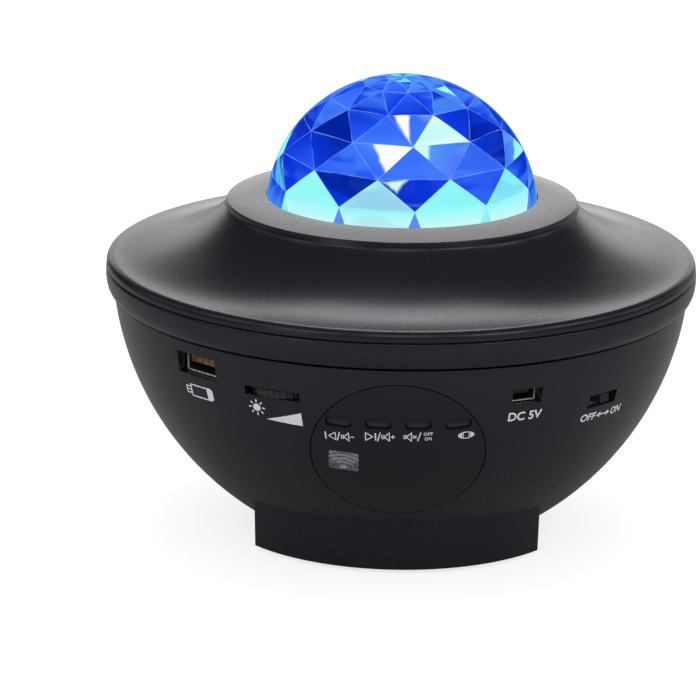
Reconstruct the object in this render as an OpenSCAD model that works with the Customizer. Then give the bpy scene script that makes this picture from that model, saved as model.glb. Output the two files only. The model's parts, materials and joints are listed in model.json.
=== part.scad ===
// Star night light projector: a bowl-shaped lamp with a faceted clear dome, a turning ripple
// lens, a laser star head, a loudspeaker in its foot and its controls on the front of the bowl.
// Millimetres, +Z up, controls facing -Y, origin under the centre of the rubber feet.

/* [Bowl] */
// Outside diameter of the bowl at its lip
bowl_lip_d = 162; // [158:0.5:166]
// Height of the bowl's lip above the table
bowl_lip_z = 68.4; // [67:0.1:70]
// Radius of the arc that draws the bowl's side
bowl_arc_r = 85; // [84:0.5:88]
// Drop from the arc's centre to the lip
bowl_arc_drop = 8.1; // [7:0.1:9]
// Wall thickness of the moulded shells
wall = 2.4; // [2.2:0.1:2.8]

/* [Foot] */
// Radius of the foot's front and back walls at the bottom edge
foot_r = 52; // [50:0.5:54]
// How far those walls lean out for each millimetre of height
foot_flare = 0.3; // [0.1:0.05:0.35]
// Width of the foot between its flat sides
foot_w = 78.8; // [75:0.2:84]
// Width of the ledge that the base cover closes against
foot_ledge = 2.4; // [1.6:0.1:3]
// Thickness of the base cover
base_t = 2.4; // [2.2:0.1:3]
// Height of the rubber feet below the foot's edge
feet_h = 1.2; // [0.8:0.1:2]
// Diameter of a rubber foot
feet_d = 9; // [7:0.5:10]

/* [Top cover] */
// How far the rim band stands proud of the bowl's lip
band_proud = 2.1; // [1.8:0.1:2.4]
// Height of the rim band
band_h = 6; // [5:0.1:7]
// Thickness of the rim band
band_t = 2.1; // [1.8:0.1:2.4]
// Radius of the cover's rounded shoulder
shoulder_r = 4.6; // [4:0.1:5]
// Diameter of the flat collar round the dome
collar_d = 98.6; // [97:0.1:101]
// Height of the collar's face above the top of the rim band
collar_rise = 18.5; // [18:0.1:20]
// Height of the collar's upright edge
collar_step = 1.8; // [1.2:0.1:2.2]

/* [Crystal dome] */
// Outside radius of the dome
dome_r = 38.5; // [37.5:0.1:39]
// Depth of the dome's centre below the collar's face
dome_sink = 2.3; // [2:0.1:2.6]
// Radius of the sphere that the inside facets' corners lie on
facet_r = 34.1; // [32:0.1:34.4]
// Height of that sphere's centre above the collar's face
facet_lift = 1.2; // [0:0.1:1.4]
// Number of facets in one ring
facet_n = 10; // [8:1:12]
// Turn of the facets about the dome's axis, in degrees
facet_turn = 1.5; // [0:0.5:36]
// Width of the dome's flange under the cover
dome_flange_w = 4.4; // [3.6:0.1:4.6]
// Thickness of the dome's flange
dome_flange_t = 2; // [1.6:0.1:2.4]

/* [Control panel] */
// Diameter of the round control panel
panel_d = 46.4; // [46:0.2:49]
// Thickness of the panel
panel_t = 1.8; // [1.6:0.1:2]
// Height of the panel's middle above the table
panel_z = 40.3; // [39.5:0.1:41]
// Distance between neighbouring keys
key_pitch = 10.6; // [9.5:0.1:10.8]
// Width of a key
key_w = 6.6; // [5.6:0.1:7]
// Height of a key
key_h = 3.2; // [2.6:0.1:3.4]
// Depth of a key's face below the panel
key_sink = 0.8; // [0.3:0.1:1]
// Travel of a key
key_travel = 0.5; // [0.3:0.05:0.6]
// Height of the keys above the panel's middle
key_up = 11.7; // [10.5:0.1:11.9]
// Width of the remote control's window
ir_w = 8; // [6:0.1:8.4]
// Height of the remote control's window
ir_h = 6.9; // [5:0.1:7.2]

/* [Ports] */
// Turn of the USB-A port from the front, in degrees
usb_az = -43; // [-46:0.5:-42]
// Height of the USB-A port's middle above the main board
usb_rise = 4.9; // [4:0.1:5.2]
// Turn of the power inlet from the front, in degrees
dc_az = 25.4; // [24:0.2:30]
// Turn of the power switch from the front, in degrees
switch_az = 44.8; // [42:0.2:48]
// Travel of the power switch's slider
switch_travel = 2.8; // [1.6:0.1:3]
// Turn of the brightness wheel from the front, in degrees
wheel_az = -25.2; // [-26:0.2:-24]
// Diameter of the brightness wheel
wheel_d = 18; // [17:0.2:19]
// Thickness of the brightness wheel
wheel_t = 2; // [1.6:0.1:2.2]
// How far the wheel stands proud of the bowl
wheel_proud = 0.4; // [0:0.1:0.8]
// Number of grooves round the wheel
wheel_grooves = 30; // [16:2:40]

/* [Light engine] */
// Height of the light engine's deck above the bowl's lip
deck_rise = -0.4; // [-1:0.1:0.4]
// Radius of the deck
deck_r = 44; // [42:0.5:46]
// Gear module of the ripple wheel and its pinion
gear_module = 0.8; // [0.75:0.01:0.82]
// Teeth on the ripple wheel
wheel_teeth = 72; // [68:4:72]
// Teeth on the motor's pinion
pinion_teeth = 12; // [11:1:14]
// Outside radius of the bearing tube that carries the ripple wheel
tube_r = 7; // [6.6:0.1:7.4]
// Diameter of the laser's barrel
laser_d = 10; // [8:0.5:10.4]
// Number of lamps on the lamp board
lamp_n = 6; // [4:1:8]

/* [Loudspeaker] */
// Outside diameter of the loudspeaker
speaker_d = 46; // [40:1:48]
// Height of the loudspeaker
speaker_h = 17; // [15:0.5:20]
// Number of slots in the base cover's grille
grille_n = 9; // [5:2:11]

/* [Fits] */
// Gap between covers, bands and panels that meet
seam = 0.3; // [0.2:0.05:0.35]
// Gap round a key, a slider or a wheel
play = 0.2; // [0.15:0.05:0.25]
// Radial clearance of a turning bearing
bearing_gap = 0.05; // [0.03:0.01:0.08]

/* [Hidden] */
$fn = 96;
EPS = 0.01;
SELF_TAP = 1.15;

bowl_lip_r = bowl_lip_d / 2;
bowl_cz = bowl_lip_z + bowl_arc_drop;
bowl_cr = bowl_lip_r - sqrt(bowl_arc_r * bowl_arc_r - bowl_arc_drop * bowl_arc_drop);

foot_z = feet_h;
foot_top = 20;
base_top = foot_z + base_t;
boss_r = 4;
boss_h = 11;
boss_x = foot_w / 2 - wall - foot_ledge - boss_r + 0.9;
boss_y = foot_r - 20;
feet_x = 22;
feet_y = foot_r - 15.5;
feet_seat = 0.6;

band_r = bowl_lip_r + band_proud;
band_z = bowl_lip_z + seam;
band_top = band_z + band_h;
band_seat = 2.2;
cover_edge_z = band_top + seam;
shoulder_cr = band_r - 0.2 - shoulder_r;
shoulder_top = cover_edge_z + shoulder_r;
collar_r = collar_d / 2;
collar_z = band_top + collar_rise;
flare_z = collar_z - collar_step;
skirt_t = 1.8;
skirt_r = bowl_lip_r - wall - 0.7;
skirt_z = bowl_lip_z - 2.9;
hook_n = 6;
hook_w = 8;

dome_cz = collar_z - dome_sink;
cover_hole_r = dome_r + 0.25;
flange_top = collar_z - wall - 0.1;
flange_bot = flange_top - dome_flange_t;
dome_flange_r = dome_r + dome_flange_w;
retainer_t = 1.6;
retainer_r = dome_flange_r + 4.6;
retainer_in_r = dome_r - 2;
retainer_screw_r = dome_flange_r + 2.6;
FACET_RINGS = [4.5, 18.5, 34.5, 51.5, 65, 78];
facet_foot_turn = 6.6;

panel_tilt = asin((bowl_cz - panel_z) / bowl_arc_r);
panel_out = bowl_r_at(panel_z);
panel_r = panel_d / 2;
panel_seat = 2.2;
panel_ledge = panel_t + 1.6;
panel_depth = 14;
pcb_t = 1.6;
key_corner = 1.4;
key_flange_d = panel_t + 0.15;
key_flange_t = 0.8;
key_flange_w = 0.6;
key_n = 4;
tact_h = 3.2;
tact_w = 6;
plunger_r = 1.6;
plunger_up = 1.4;
plunger_len = 2.4;
stem_end = -8.6;
key_board_face = stem_end - plunger_up - tact_h;
key_board_w = 40;
key_board_h = 34;
panel_post_r = 2.2;
PANEL_POSTS = [[-17.4, 4.6], [17.4, 4.6], [-10, -15], [10, -15]];
panel_hook_w = 6;
panel_hook_t = 1.4;
panel_hook_y = panel_r - panel_seat - panel_hook_t - seam - 0.1;
panel_hook_rise = bowl_arc_r - sqrt(pow(bowl_arc_r, 2) - pow(panel_r, 2));
panel_hook_low = -panel_ledge - panel_hook_rise - 1.2;
ir_x = -14.4;
ir_y = -2.6;
ir_recess = 0.25;

board_z = bowl_lip_z - 14.3;
board_top = board_z + pcb_t;
board_r = bowl_lip_r - 7.2;
board_back = 24;
notch_w = 45;
notch_y = panel_out - 14.3;
post_r = 3.5;
side_post_az = 63;
side_post_r = bowl_lip_r - 12;
front_post_r = foot_r + 0.8;
front_post = front_post_r * [sin(29.5), -cos(29.5)];
chip_w = 10;
chip_t = 1.6;
chip_row_x = 36;
chip_row_y = board_back + 10;
can_r = 4;
can_h = 9;
can_y = board_back + 12;

sheet = 0.3;
port_sink = 3.2;
usb = [13.1, 5.7, 14];
usb_z = board_top + usb_rise;
usb_hole = [14.4, 6.2];
dc = [7.7, 3.9, 9.2];
dc_z = board_top + dc[1] / 2;
dc_hole = [8.8, 4.5];

switch_case_size = [8.6, 3.7, 4.2];
switch_z = board_z - switch_case_size[1] / 2;
switch_hole = [11, 3.8];
knob = [3.2, 2.4];

wheel_z = board_top + 0.5 + wheel_t / 2;
wheel_r = wheel_d / 2;
wheel_slot = [16.3, wheel_t + 0.6];
pot_r = 3.8;
pot_h = 3;
pot_bush_r = 2;
pot_shaft_r = 1.2;

deck_z = bowl_lip_z + deck_rise;
deck_t = 2.4;
deck_top = deck_z + deck_t;
lead_hole_r = 2.2;
lead_hole_turn = -30;
lead_hole_at = 14.5;
ear_r = 58;
ear_w = 10;
tube_top = deck_top + 13.6;
tube_foot = 4;
laser_r = laser_d / 2;
lamp_board_r = 25;
lamp_ring_r = 16.5;
cup_r = lamp_board_r + 2.2;
cup_h = 7;
plate_z = deck_top + cup_h;
plate_t = 1.8;
washer_t = 0.75;
gear_z = plate_z + plate_t + washer_t + bearing_gap;
gear_t = 2.4;
hub_r = tube_r + 2;
hub_h = 6;
grating_t = 0.8;
wheel_pitch_r = gear_module * wheel_teeth / 2;
pinion_pitch_r = gear_module * pinion_teeth / 2;
mesh_gap = 0.12;
mesh_dist = wheel_pitch_r + pinion_pitch_r + mesh_gap;
pinion_t = 3.4;
motor_r = 10;
motor_h = 14;
motor_lug_x = 14;
shaft_r = 1.5;

speaker_r = speaker_d / 2;
gasket_t = 0.6;
speaker_z = base_top + gasket_t;
lug_r = speaker_r + 3.4;
lug_t = 1.2;
grille_r = speaker_r - 4;
speaker_neck_r = 13.4;
speaker_neck_z = speaker_z + speaker_h - 7.4;
speaker_neck_t = 1.2;
magnet_r = 12.5;
magnet_h = speaker_h - 10.8;
tab_reach = 5;

wire_r = 0.55;
wire_pitch = 1.4;
plug_w = 6;
plug_d = 4.4;
plug_h = 5;
plug_row_y = board_back + 3.6;
lamp_plug_x = -8;
laser_plug_x = 2;
motor_plug_x = 12;
speaker_plug = [-22, -29];
ribbon = [7, 0.6];
ribbon_plug_y = notch_y - 7;
ribbon_from_y = -6;
ribbon_plug_h = 3.6;

SHELL_BLACK = [0.14, 0.14, 0.155];
PANEL_BLACK = [0.11, 0.11, 0.125];
CLEAR_BLUE = [0.25, 0.5, 1, 0.45];
CLEAR = [0.85, 0.9, 0.95, 0.5];
BOARD_GREEN = [0.07, 0.32, 0.17];
STEEL = [0.72, 0.73, 0.75];
BRASS = [0.78, 0.6, 0.25];
WHITE_PLASTIC = [0.92, 0.92, 0.9];
DARK_PLASTIC = [0.08, 0.08, 0.09];
RUBBER = [0.06, 0.06, 0.06];
PAPER_BLACK = [0.1, 0.1, 0.1];

// ------------------------------------------------------------------ helpers

// Radius of the bowl's outside at height z.
function bowl_r_at(z) = bowl_cr + sqrt(pow(bowl_arc_r, 2) - pow(z - bowl_cz, 2));

wheel_cr = bowl_r_at(wheel_z) + wheel_proud - wheel_r;

// Turns and lifts children so that their +Z points straight out of the bowl's side.
module at_side(az, r, z) {
    rotate([0, 0, az]) translate([0, -r, z]) rotate([90, 0, 0]) children();
}

// Places children on the control panel: +Z out along its axis, +Y up its face.
module at_panel() {
    translate([0, -panel_out, panel_z]) rotate([90 + panel_tilt, 0, 0]) children();
}

// Repeats children at the four corners of a rectangle.
module at_corners(x, y) {
    for (sx = [-1, 1], sy = [-1, 1]) translate([sx * x, sy * y, 0]) children();
}

// Repeats children n times round the axis at radius r, the first one turned by start.
module around(n, r, start = 0) {
    for (k = [0 : n - 1]) rotate([0, 0, start + k * 360 / n]) translate([0, -r, 0]) children();
}

// A tube standing on z = 0.
module tube(r_out, r_in, h) {
    difference() {
        cylinder(r = r_out, h = h);
        translate([0, 0, -1]) cylinder(r = r_in, h = h + 2);
    }
}

// A block centred in X and Y, standing on z = 0.
module block(x, y, z) {
    translate([-x / 2, -y / 2, 0]) cube([x, y, z]);
}

// Outline of a rectangle with round corners.
module rounded(w, h, r) {
    square([w - 2 * r, h], center = true);
    square([w, h - 2 * r], center = true);
    for (sx = [-1, 1], sy = [-1, 1])
        translate([sx * (w / 2 - r), sy * (h / 2 - r)]) circle(r = r, $fn = 32);
}

// A cross-head screw that points up from z = 0 and has its head below.
module screw(shank_r, length, head_r, head_h) {
    difference() {
        union() {
            cylinder(r = shank_r, h = length);
            translate([0, 0, -head_h]) cylinder(r = head_r, h = head_h);
        }
        translate([0, 0, -head_h - 1]) block(head_r * 1.2, 0.5, 1 + head_h / 2);
        translate([0, 0, -head_h - 1]) block(0.5, head_r * 1.2, 1 + head_h / 2);
    }
}

// ------------------------------------------------------------------ housing

// The bowl as one solid of revolution, inset from its outside by a wall or a clearance.
module bowl_form(inset, z_low, z_high) {
    rotate_extrude() intersection() {
        translate([bowl_cr, bowl_cz]) circle(r = bowl_arc_r - inset, $fn = 240);
        translate([0, z_low]) square([bowl_cr + bowl_arc_r, z_high - z_low]);
    }
}

// The foot as one solid: round front and back walls that lean out, between two flat sides.
module foot_form(inset, z_low, z_high) {
    intersection() {
        translate([0, 0, z_low]) cylinder(
            r1 = foot_r - inset + foot_flare * (z_low - foot_z),
            r2 = foot_r - inset + foot_flare * (z_high - foot_z),
            h = z_high - z_low);
        translate([-foot_w / 2 + inset, -bowl_arc_r, z_low])
            cube([foot_w - 2 * inset, 2 * bowl_lip_r, z_high - z_low]);
    }
}

// An opening cut straight through the bowl's side.
module side_cut(az, z, size) {
    at_side(az, bowl_r_at(z) - wall - 3, z) linear_extrude(height = wall + 8)
        square(size, center = true);
}

// Plan positions of the four posts that carry the main board.
module at_board_posts() {
    for (s = [-1, 1]) {
        rotate([0, 0, s * side_post_az]) translate([0, -side_post_r, 0]) children();
        translate([s * front_post[0], front_post[1], 0]) children();
    }
}

// Place of key number i on the panel: the row keeps level as the bowl curves away.
function key_x(i) = (i - (key_n - 1) / 2) * key_pitch;
function key_y(i) = key_up - pow(key_x(i), 2) / (2 * panel_out) * sin(panel_tilt);

// Repeats children at every key of the control panel.
module at_keys() {
    at_panel() for (i = [0 : key_n - 1]) translate([key_x(i), key_y(i), 0]) children();
}

// Outline of a key, wider than its face by grow all round.
module key_outline(grow) {
    rounded(key_w + 2 * grow, key_h + 2 * grow, key_corner);
}

// The round hole of the control panel, r wide, from inside the bowl out through its wall.
module panel_bore(r) {
    at_panel() translate([0, 0, -panel_depth]) cylinder(r = r, h = panel_depth + 8);
}

module bowl_shell() {
    difference() {
        union() {
            bowl_form(0, foot_z, bowl_lip_z);
            foot_form(0, foot_z, foot_top);
        }
        bowl_form(wall, base_top, bowl_lip_z + 1);
        foot_form(wall + foot_ledge, base_top - EPS, foot_top);
        foot_form(wall, foot_z - 1, base_top + 0.05);
    }
}

module bowl_housing() {
    color(SHELL_BLACK) difference() {
        union() {
            bowl_shell();
            // thicker seat round the control panel
            intersection() {
                panel_bore(panel_r + 2.6);
                difference() {
                    bowl_form(wall - 0.2, 10, skirt_z - 0.4);
                    bowl_form(panel_ledge, 9, bowl_lip_z);
                }
            }
            // posts for the base cover's screws
            at_corners(boss_x, boss_y) translate([0, 0, base_top + 0.05])
                cylinder(r = boss_r, h = boss_h);
            // posts for the main board
            intersection() {
                at_board_posts() translate([0, 0, 10]) cylinder(r = post_r, h = board_z - 10);
                bowl_form(wall / 2, foot_z, bowl_lip_z);
            }
        }
        at_corners(boss_x, boss_y) translate([0, 0, base_top - 1])
            cylinder(r = SELF_TAP, h = boss_h - 1);
        at_board_posts() translate([0, 0, board_z - 9]) cylinder(r = SELF_TAP, h = 10);
        // seat and window of the control panel
        difference() {
            panel_bore(panel_r + seam);
            bowl_form(panel_t + 0.02, 8, bowl_lip_z + 2);
        }
        panel_bore(panel_r - panel_seat);
        intersection() {
            at_keys() translate([0, 0, -panel_depth]) linear_extrude(height = panel_depth)
                key_outline(key_flange_w + seam);
            bowl_form(panel_t - 0.2, 20, bowl_lip_z);
        }
        side_cut(usb_az, usb_z, usb_hole);
        side_cut(dc_az, dc_z, dc_hole);
        side_cut(switch_az, switch_z, switch_hole);
        side_cut(wheel_az, wheel_z, wheel_slot);
        // catches for the cover's hooks
        around(hook_n, skirt_r + 0.5, 30) translate([0, 0, skirt_z - 0.2])
            block(hook_w + 1, 2.6, 1.7);
    }
}

module rim_band() {
    inner_r = bowl_lip_r - wall + 0.4;
    low_r = band_r - 0.4;
    color(SHELL_BLACK) rotate_extrude() polygon([
        [inner_r, band_z],
        [low_r - 0.3, band_z],
        [low_r, band_z + 0.3],
        [band_r, band_z + band_h / 2],
        [band_r, band_top - 0.5],
        [band_r - 0.5, band_top],
        [band_r - band_t, band_top],
        [band_r - band_t, band_z + band_seat],
        [inner_r, band_z + band_seat]
    ]);
}

// Half section of the cover: collar, hollow flare and round shoulder, inset by a wall.
module cover_section(inset) {
    rise = flare_z - shoulder_top;
    run = shoulder_cr - collar_r;
    flare_arc = (run * run + rise * rise) / (2 * rise);
    square([collar_r - inset, collar_z - inset]);
    difference() {
        union() {
            square([shoulder_cr, collar_z - max(collar_step, inset)]);
            translate([shoulder_cr, cover_edge_z]) circle(r = shoulder_r - inset);
        }
        translate([shoulder_cr, shoulder_top + flare_arc])
            circle(r = flare_arc + inset, $fn = 240);
    }
}

module top_cover() {
    spigot_r = band_r - band_t - seam;
    spigot_z = band_z + band_seat + seam;
    color(SHELL_BLACK) difference() {
        union() {
            rotate_extrude() intersection() {
                difference() {
                    cover_section(0);
                    cover_section(wall);
                }
                translate([0, cover_edge_z]) square([band_r, collar_z]);
            }
            // spigot that centres the rim band, and skirt that drops inside the bowl
            translate([0, 0, spigot_z]) tube(spigot_r, spigot_r - 1.6, cover_edge_z + 1.4 - spigot_z);
            translate([0, 0, skirt_z]) tube(skirt_r, skirt_r - skirt_t, shoulder_top - 2 - skirt_z);
            around(hook_n, skirt_r, 30) translate([0, 0, skirt_z]) block(hook_w, 1.6, 1.2);
            // posts for the light engine and for the dome's retainer
            intersection() {
                union() {
                    around(3, ear_r) translate([0, 0, deck_top]) cylinder(r = 3.4, h = 20);
                    around(4, retainer_screw_r, 45) translate([0, 0, flange_bot])
                        cylinder(r = 2.1, h = 6);
                }
                rotate_extrude() cover_section(wall / 2);
            }
        }
        translate([0, 0, dome_cz - 1]) cylinder(r = cover_hole_r, h = 20);
        around(3, ear_r) translate([0, 0, deck_top - 1]) cylinder(r = SELF_TAP, h = 8);
        around(4, retainer_screw_r, 45) translate([0, 0, flange_bot - 1])
            cylinder(r = 0.8, h = 3.6);
    }
}

module base_cover() {
    slot_w = 2;
    pitch = 2 * grille_r / grille_n;
    color(SHELL_BLACK) difference() {
        union() {
            foot_form(wall + seam, foot_z, base_top);
            around(4, lug_r, 45) translate([0, 0, base_top - 0.1])
                cylinder(r = 3, h = gasket_t + 0.1);
        }
        for (k = [0 : grille_n - 1]) {
            x = (k - (grille_n - 1) / 2) * pitch;
            half = sqrt(grille_r * grille_r - x * x) - slot_w;
            translate([x, 0, foot_z - 1]) linear_extrude(height = base_t + 2) {
                square([slot_w, 2 * half], center = true);
                for (s = [-1, 1]) translate([0, s * half]) circle(r = slot_w / 2, $fn = 32);
            }
        }
        at_corners(boss_x, boss_y) translate([0, 0, foot_z - 1]) {
            cylinder(r = 1.5, h = base_t + 2);
            cylinder(r = 3, h = 2.2);
        }
        at_corners(feet_x, feet_y) translate([0, 0, foot_z - 1])
            cylinder(r = feet_d / 2, h = 1 + feet_seat);
        around(4, lug_r, 45) translate([0, 0, base_top - 1.6]) cylinder(r = 0.9, h = 4);
    }
}

module rubber_feet() {
    r = feet_d / 2 - 0.05;
    color(RUBBER) at_corners(feet_x, feet_y) {
        cylinder(r1 = r - 0.5, r2 = r, h = feet_h);
        translate([0, 0, feet_h]) cylinder(r = r, h = feet_seat);
    }
}

module base_screws() {
    color(STEEL) at_corners(boss_x, boss_y) translate([0, 0, foot_z + 1.2]) screw(1.1, 8.4, 2.6, 1);
}

// ------------------------------------------------------------------ dome

// Corners of one ring of inside facets, turned by half a facet where half is 1.
function facet_ring(elev, half) = [
    for (k = [0 : facet_n - 1])
        let (a = -90 + facet_turn + (k + half / 2) * 360 / facet_n, r = facet_r * cos(elev))
        [r * cos(a), r * sin(a), collar_z + facet_lift + facet_r * sin(elev)]
];

// Corners at the foot of the tall facets, two between each pair of them.
function facet_feet() = [
    for (k = [0 : facet_n - 1], s = [-1, 1])
        let (
            a = -90 + facet_turn + k * 360 / facet_n + s * facet_foot_turn,
            flat_r = facet_r * cos(FACET_RINGS[0]) * cos(180 / facet_n),
            r = flat_r / cos(180 / facet_n - facet_foot_turn)
        )
        [r * cos(a), r * sin(a), flange_bot - 1]
];

// The hollow of the dome: rings of flat triangles on a sphere, as in a cut crystal.
module facet_hollow() {
    n = facet_n;
    rings = len(FACET_RINGS);
    feet = rings * n;
    function at(i, k) = i * n + (k + n) % n;
    bands = [
        for (i = [0 : rings - 2], k = [0 : n - 1]) each (
            i % 2 == 0
            ? [[at(i, k), at(i + 1, k), at(i, k + 1)], [at(i + 1, k - 1), at(i + 1, k), at(i, k)]]
            : [[at(i, k - 1), at(i + 1, k), at(i, k)], [at(i + 1, k), at(i + 1, k + 1), at(i, k)]]
        )
    ];
    skirts = [
        for (k = [0 : n - 1]) each [
            [feet + 2 * k, at(0, k), feet + 2 * k + 1],
            [at(0, k), at(0, k + 1), feet + (2 * k + 2) % (2 * n), feet + 2 * k + 1]
        ]
    ];
    crown = [for (k = [n - 1 : -1 : 0]) at(rings - 1, k)];
    floor_ring = [for (k = [0 : 2 * n - 1]) feet + k];
    polyhedron(
        points = concat(
            [for (i = [0 : rings - 1]) each facet_ring(FACET_RINGS[i], i % 2)],
            facet_feet()),
        faces = concat(bands, skirts, [crown, floor_ring]));
}

module crystal_dome() {
    color(CLEAR_BLUE) difference() {
        union() {
            intersection() {
                translate([0, 0, dome_cz]) sphere(r = dome_r, $fn = 180);
                translate([0, 0, dome_cz]) cylinder(r = dome_r + 1, h = dome_r + 1);
            }
            translate([0, 0, flange_bot]) cylinder(r = dome_r, h = dome_cz - flange_bot);
            translate([0, 0, flange_bot]) cylinder(r = dome_flange_r, h = dome_flange_t);
        }
        facet_hollow();
    }
}

module dome_retainer() {
    color(DARK_PLASTIC) translate([0, 0, flange_bot - retainer_t]) difference() {
        tube(retainer_r, retainer_in_r, retainer_t);
        around(4, retainer_screw_r, 45) translate([0, 0, -1]) cylinder(r = 1, h = retainer_t + 2);
    }
}

module retainer_screws() {
    color(STEEL) around(4, retainer_screw_r, 45) translate([0, 0, flange_bot - retainer_t])
        screw(0.75, 3.8, 1.7, 0.8);
}

// ------------------------------------------------------------------ control panel

// A skin of the bowl between two depths, inside an outline drawn on the panel.
module panel_skin(depth_out, depth_in) {
    intersection() {
        at_panel() translate([0, 0, -panel_depth]) linear_extrude(height = panel_depth + 8)
            children();
        difference() {
            bowl_form(depth_out, 10, bowl_lip_z - 1);
            bowl_form(depth_in, 9, bowl_lip_z);
        }
    }
}

module control_panel() {
    color(PANEL_BLACK) difference() {
        union() {
            panel_skin(0, panel_t) circle(r = panel_r);
            // posts for the key board, ending inside the panel's skin
            intersection() {
                at_panel() for (p = PANEL_POSTS) translate([p[0], p[1], key_board_face])
                    cylinder(r = panel_post_r, h = -key_board_face);
                bowl_form(panel_t / 2, 10, bowl_lip_z - 1);
            }
            // spring hooks that hold the panel behind its seat
            at_panel() for (a = [0, 180]) rotate([0, 0, a]) {
                translate([-panel_hook_w / 2, panel_hook_y, panel_hook_low]) {
                    cube([panel_hook_w, panel_hook_t, -panel_hook_low - panel_t - 1.6]);
                    cube([panel_hook_w, 2 * panel_hook_t, 1.2]);
                }
            }
        }
        at_keys() translate([0, 0, -panel_depth]) linear_extrude(height = panel_depth + 8)
            key_outline(play);
        at_panel() {
            translate([ir_x, ir_y, -panel_depth]) linear_extrude(height = panel_depth + 8)
                rounded(ir_w + 0.2, ir_h + 0.2, 0.6);
            for (p = PANEL_POSTS) translate([p[0], p[1], key_board_face - 1])
                cylinder(r = 0.8, h = 6);
        }
    }
}

// Key number i: a cap sunk in the panel, a flange that seats behind it and a stem to its switch.
module key(i) {
    stem_top = key_flange_d + key_flange_t / 2;
    color(PANEL_BLACK) union() {
        panel_skin(key_sink, key_flange_d + key_flange_t) translate([key_x(i), key_y(i)])
            key_outline(0);
        panel_skin(key_flange_d, key_flange_d + key_flange_t) translate([key_x(i), key_y(i)])
            key_outline(key_flange_w);
        intersection() {
            at_panel() translate([key_x(i), key_y(i), stem_end]) cylinder(r = 1.2, h = -stem_end);
            bowl_form(stem_top, 20, bowl_lip_z);
        }
    }
}

module key_previous() { key(0); }
module key_next() { key(1); }
module key_mute() { key(2); }
module key_mode() { key(3); }

// Plunger of tact switch number i, which moves with its key.
module plunger(i) {
    color(WHITE_PLASTIC) at_panel() translate([key_x(i), key_y(i), stem_end - plunger_len])
        cylinder(r = plunger_r, h = plunger_len);
}

module plunger_previous() { plunger(0); }
module plunger_next() { plunger(1); }
module plunger_mute() { plunger(2); }
module plunger_mode() { plunger(3); }

module tact_switches() {
    color(DARK_PLASTIC) at_keys() translate([0, 0, key_board_face]) difference() {
        block(tact_w, tact_w, tact_h);
        translate([0, 0, tact_h + plunger_up - plunger_len - key_travel - play])
            cylinder(r = plunger_r + 0.15, h = plunger_len + key_travel + play);
    }
}

module key_board() {
    color(BOARD_GREEN) at_panel() translate([0, 0, key_board_face - pcb_t]) difference() {
        translate([0, -0.5, 0]) linear_extrude(height = pcb_t) rounded(key_board_w, key_board_h, 2);
        for (p = PANEL_POSTS) translate([p[0], p[1], -1]) cylinder(r = 1.1, h = pcb_t + 2);
    }
}

module key_board_screws() {
    color(STEEL) at_panel() for (p = PANEL_POSTS)
        translate([p[0], p[1], key_board_face - pcb_t]) screw(0.75, 5, 1.8, 0.9);
}

module ir_window() {
    color([0.35, 0.33, 0.36]) union() {
        panel_skin(ir_recess, panel_t + 0.1) translate([ir_x, ir_y]) rounded(ir_w, ir_h, 0.5);
        panel_skin(panel_t + 0.05, panel_t + 0.9) translate([ir_x, ir_y])
            rounded(ir_w + 2, ir_h + 2, 0.6);
    }
}

module ir_receiver() {
    color(DARK_PLASTIC) at_panel() translate([ir_x, ir_y, key_board_face]) {
        block(6, 5.4, 4);
        translate([0, 0, 4]) intersection() {
            sphere(r = 2, $fn = 48);
            translate([0, 0, -0.5]) cylinder(r = 3, h = 3);
        }
    }
}

// ------------------------------------------------------------------ ports and controls

module at_wheel() {
    rotate([0, 0, wheel_az]) translate([0, -wheel_cr, 0]) children();
}

module brightness_wheel() {
    color(DARK_PLASTIC) at_wheel() translate([0, 0, wheel_z - wheel_t / 2])
        linear_extrude(height = wheel_t) difference() {
            circle(r = wheel_r);
            circle(r = pot_shaft_r + 0.02);
            for (k = [0 : wheel_grooves - 1]) rotate(k * 360 / wheel_grooves)
                translate([wheel_r + 0.15, 0]) circle(r = 0.5, $fn = 24);
        }
}

module wheel_shaft() {
    color(STEEL) at_wheel() translate([0, 0, board_z - pot_h + 0.8]) difference() {
        cylinder(r = pot_shaft_r, h = wheel_z + wheel_t / 2 - board_z + pot_h - 0.8);
        translate([0, 0, 3.6]) cylinder(r = 0.5, h = 10);
    }
}

module wheel_screw() {
    color(STEEL) at_wheel() translate([0, 0, wheel_z + wheel_t / 2]) mirror([0, 0, 1])
        screw(0.48, 2.4, 1.8, 0.7);
}

module brightness_pot() {
    color(DARK_PLASTIC) at_wheel() difference() {
        union() {
            translate([0, 0, board_z - pot_h]) cylinder(r = pot_r, h = pot_h);
            translate([0, 0, board_z]) cylinder(r = pot_bush_r, h = pcb_t + 0.3);
        }
        translate([0, 0, board_z - pot_h + 0.75])
            cylinder(r = pot_shaft_r + bearing_gap, h = pot_h + pcb_t + 2);
    }
}

// A socket's folded sheet shell, its mouth at z = 0 and its body behind it.
module socket_shell(size) {
    translate([0, 0, -size[2]]) linear_extrude(height = size[2]) difference() {
        rounded(size[0], size[1], 0.6);
        rounded(size[0] - 2 * sheet, size[1] - 2 * sheet, 0.35);
    }
}

module usb_a_shell() {
    color(STEEL) at_side(usb_az, bowl_r_at(usb_z) - port_sink, usb_z) difference() {
        socket_shell(usb);
        // spring windows in the top and bottom walls
        for (x = [-3.2, 3.2], y = [-1, 1]) translate([x, y * usb[1] / 2, -8.5])
            cube([2, 2, 5], center = true);
    }
}

// The moulded block that closes a socket's shell at the back.
module socket_block(size, length, back) {
    translate([0, 0, -size[2] - back]) linear_extrude(height = length + back)
        rounded(size[0] - 2 * sheet - 0.1, size[1] - 2 * sheet - 0.1, 0.35);
}

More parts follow.
